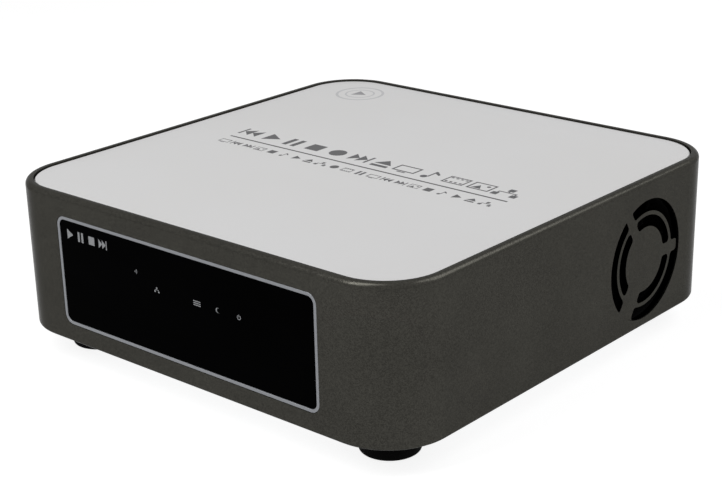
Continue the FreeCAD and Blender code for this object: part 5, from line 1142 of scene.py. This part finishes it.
def star_screw():
    """Mesh of one low screw with a star recess: rings about an upright axis, capped at both ends."""
    work = bmesh.new()
    rings = []
    for radius, lobe, height in COVER_SCREW_RINGS:
        points = []
        for index in range(COVER_SCREW_STEPS):
            angle = 2 * math.pi * index / COVER_SCREW_STEPS
            reach = (radius + lobe * math.cos(STAR_LOBES * angle)) * MM
            points.append(work.verts.new((reach * math.cos(angle), reach * math.sin(angle), height * MM)))
        rings.append(points)
    for lower, upper in zip(rings, rings[1:]):
        add_wall(work, lower, upper)
    work.faces.new(rings[0])
    work.faces.new(rings[-1])
    mesh = bpy.data.meshes.new("star_screw")
    work.to_mesh(mesh)
    work.free()
    return mesh


def cover_screws(grid):
    """Small screws round the edge of the drive's lid."""
    low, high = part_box("drive_cover")
    columns, rows = COVER_SCREW_GRID
    inset = 2 * COVER_SCREW_INSET * MM
    values = {
        "Middle": ((low.x + high.x) / 2, (low.y + high.y) / 2, high.z - COVER_STEP * MM),
        "Width": high.x - low.x - inset, "Depth": high.y - low.y - inset, "Columns": columns, "Rows": rows,
    }
    steel = bpy.data.materials["screw_steel"]
    grow_piece("cover_screws", grid, [values], steel, "tray", star_screw())


def block_row(count, start, step, size, lean=0.0):
    """Values for a row of blocks: start in metres, step and size in millimetres, lean in degrees."""
    return {
        "Count": count, "Start": start, "Step": [reach * MM for reach in step],
        "Size": [side * MM for side in size], "Turn": (math.radians(lean), 0.0, 0.0),
    }


def contact_row(node, count, pitch, size, inset, rise, lean):
    """Values for a row of contacts across a socket's mouth."""
    low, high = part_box(node)
    first_x = (low.x + high.x) / 2 - (count - 1) * pitch / 2 * MM
    start = (first_x, high.y - inset * MM, low.z + rise * MM)
    return block_row(count, start, (pitch, 0.0, 0.0), size, lean)


def socket_contacts(rows):
    """Gold contacts in the sockets' mouths and on the drive's plug."""
    gold = gold_plate()
    runs = [contact_row(*row) for row in CONTACT_ROWS]
    grow_piece("socket_contacts", rows, runs, gold, "case")
    grow_piece("plug_contacts", rows, [contact_row(*PLUG_ROW)], gold, "tray")


def chip_legs(rows):
    """Legs along the two ends of each memory chip."""
    low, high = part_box("memory_chips")
    count, pitch = MEMORY_LEGS
    runs = []
    for middle_y in MEMORY_YS:
        first_y = (middle_y - (count - 1) * pitch / 2) * MM
        for x in (low.x - LEG_REACH * MM, high.x + LEG_REACH * MM):
            start = (x, first_y, low.z + LEG_RISE * MM)
            runs.append(block_row(count, start, (0.0, pitch, 0.0), LEG_SIZE))
    grow_piece("chip_legs", rows, runs, bpy.data.materials["tinned"], "case")


def part_field(middle, lean, region, fill, seed):
    """Values for small parts at some of the places of a region: width, depth, columns, rows."""
    width, depth, columns, rows = region
    return {
        "Middle": middle, "Lean": lean, "Width": width * MM, "Depth": depth * MM,
        "Columns": columns, "Rows": rows, "Share": fill, "Seed": seed,
    }


def board_parts(scatter):
    """Small resistors and capacitors over the free parts of the boards."""
    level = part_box("main_board")[1].z + PART_LIFT * MM
    fields = []
    for number, (x, y, *region) in enumerate(BOARD_REGIONS):
        middle = (x * MM, y * MM, level)
        fields.append(part_field(middle, (0.0, 0.0, 0.0), region, BOARD_FILL, BOARD_SEED + number))
    low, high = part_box("display_board")
    middle = ((low.x + high.x) / 2, high.y + PART_LIFT * MM, (low.z + high.z) / 2)
    upright = (-math.pi / 2, 0.0, 0.0)
    fields.append(part_field(middle, upright, DISPLAY_REGION, DISPLAY_FILL, DISPLAY_SEED))
    for name, size, finish in (
        ("board_parts", PART_BODY, ceramic()), ("board_part_ends", PART_ENDS, tinned()),
    ):
        runs = [{**values, "Size": [side * MM for side in size]} for values in fields]
        grow_piece(name, scatter, runs, finish, "case")


# ---- Camera and studio ----
def direction(azimuth, elevation):
    """Unit vector away from the object; azimuth 0 is straight in front and 90 degrees the fan's side."""
    level = math.cos(elevation)
    return Vector((math.sin(azimuth) * level, -math.cos(azimuth) * level, math.sin(elevation)))


def make_camera():
    data = bpy.data.cameras.new("camera")
    data.lens = LENS
    data.sensor_width = SENSOR_WIDTH
    data.shift_y = FRAME_SHIFT / FRAME_WIDTH
    camera = bpy.data.objects.new("camera", data)
    bpy.context.scene.collection.objects.link(camera)
    back = direction(CAMERA_AZIMUTH, CAMERA_ELEVATION)
    level_right = Vector((math.cos(CAMERA_AZIMUTH), math.sin(CAMERA_AZIMUTH), 0.0))
    right = level_right * math.cos(CAMERA_ROLL) + back.cross(level_right) * math.sin(CAMERA_ROLL)
    turn = Matrix((right, back.cross(right), back)).transposed().to_4x4()
    camera.matrix_world = Matrix.Translation(CAMERA_PLACE) @ turn
    bpy.context.scene.camera = camera


def seen_as_background(graph):
    """1 for rays from the camera, off a gloss or through glass."""
    path = graph.node("ShaderNodeLightPath")
    seen = graph.math("MAXIMUM", path["Is Camera Ray"], path["Is Glossy Ray"])
    return graph.math("MAXIMUM", seen, path["Is Transmission Ray"])


def make_world():
    """Soft fill from all round, seen as white."""
    world = bpy.data.worlds.new("studio")
    world.use_nodes = True
    bpy.context.scene.world = world
    sky = Graph(world.node_tree)
    strength = FILL_STRENGTH + (1.0 - FILL_STRENGTH) * seen_as_background(sky)
    light = sky.node("ShaderNodeBackground", sockets={"Color": (1.0, 1.0, 1.0, 1.0), "Strength": strength})
    sky.node("ShaderNodeOutputWorld", sockets={"Surface": light})


def make_floor():
    """Pale floor that reads as white but keeps the object's shadow."""
    work = bmesh.new()
    bmesh.ops.create_grid(work, x_segments=FLOOR_CELLS, y_segments=FLOOR_CELLS, size=FLOOR_HALF)
    mesh = bpy.data.meshes.new("floor")
    work.to_mesh(mesh)
    work.free()
    material = bpy.data.materials.new("floor")
    material.use_nodes = True
    graph = Graph(material.node_tree)
    matt = graph.node("ShaderNodeBsdfDiffuse", sockets={"Color": (FLOOR_TONE, FLOOR_TONE, FLOOR_TONE, 1.0)})
    glow = graph.node("ShaderNodeEmission", sockets={"Strength": FLOOR_GLOW * seen_as_background(graph)})
    both = graph.node("ShaderNodeAddShader", sockets={0: matt, 1: glow})
    graph.node("ShaderNodeOutputMaterial", sockets={"Surface": both})
    mesh.materials.append(material)
    floor = bpy.data.objects.new("floor", mesh)
    bpy.context.scene.collection.objects.link(floor)


def make_softboxes():
    """Rectangular lamps, each turned to the middle of the object."""
    aim = (CAD_BOX[0] + CAD_BOX[1]) / 2
    for name, azimuth, elevation, distance, width, height, watts in SOFTBOXES:
        data = bpy.data.lights.new(name, "AREA")
        data.shape = "RECTANGLE"
        data.size = width
        data.size_y = height
        data.energy = watts
        lamp = bpy.data.objects.new(name, data)
        way = direction(math.radians(azimuth), math.radians(elevation))
        lamp.location = aim + way * distance
        lamp.rotation_euler = way.to_track_quat("Z", "Y").to_euler()
        bpy.context.scene.collection.objects.link(lamp)


bpy.context.scene.view_settings.view_transform = "Standard"
make_camera()
make_world()
make_floor()
make_softboxes()
finish_parts()
window_marks()
top_marks()
rear_marks()
rocker_marks()
drive_label()
cover_screws(grid_tree())
row_of_blocks = row_tree()
socket_contacts(row_of_blocks)
board_parts(scatter_tree())
chip_legs(row_of_blocks)
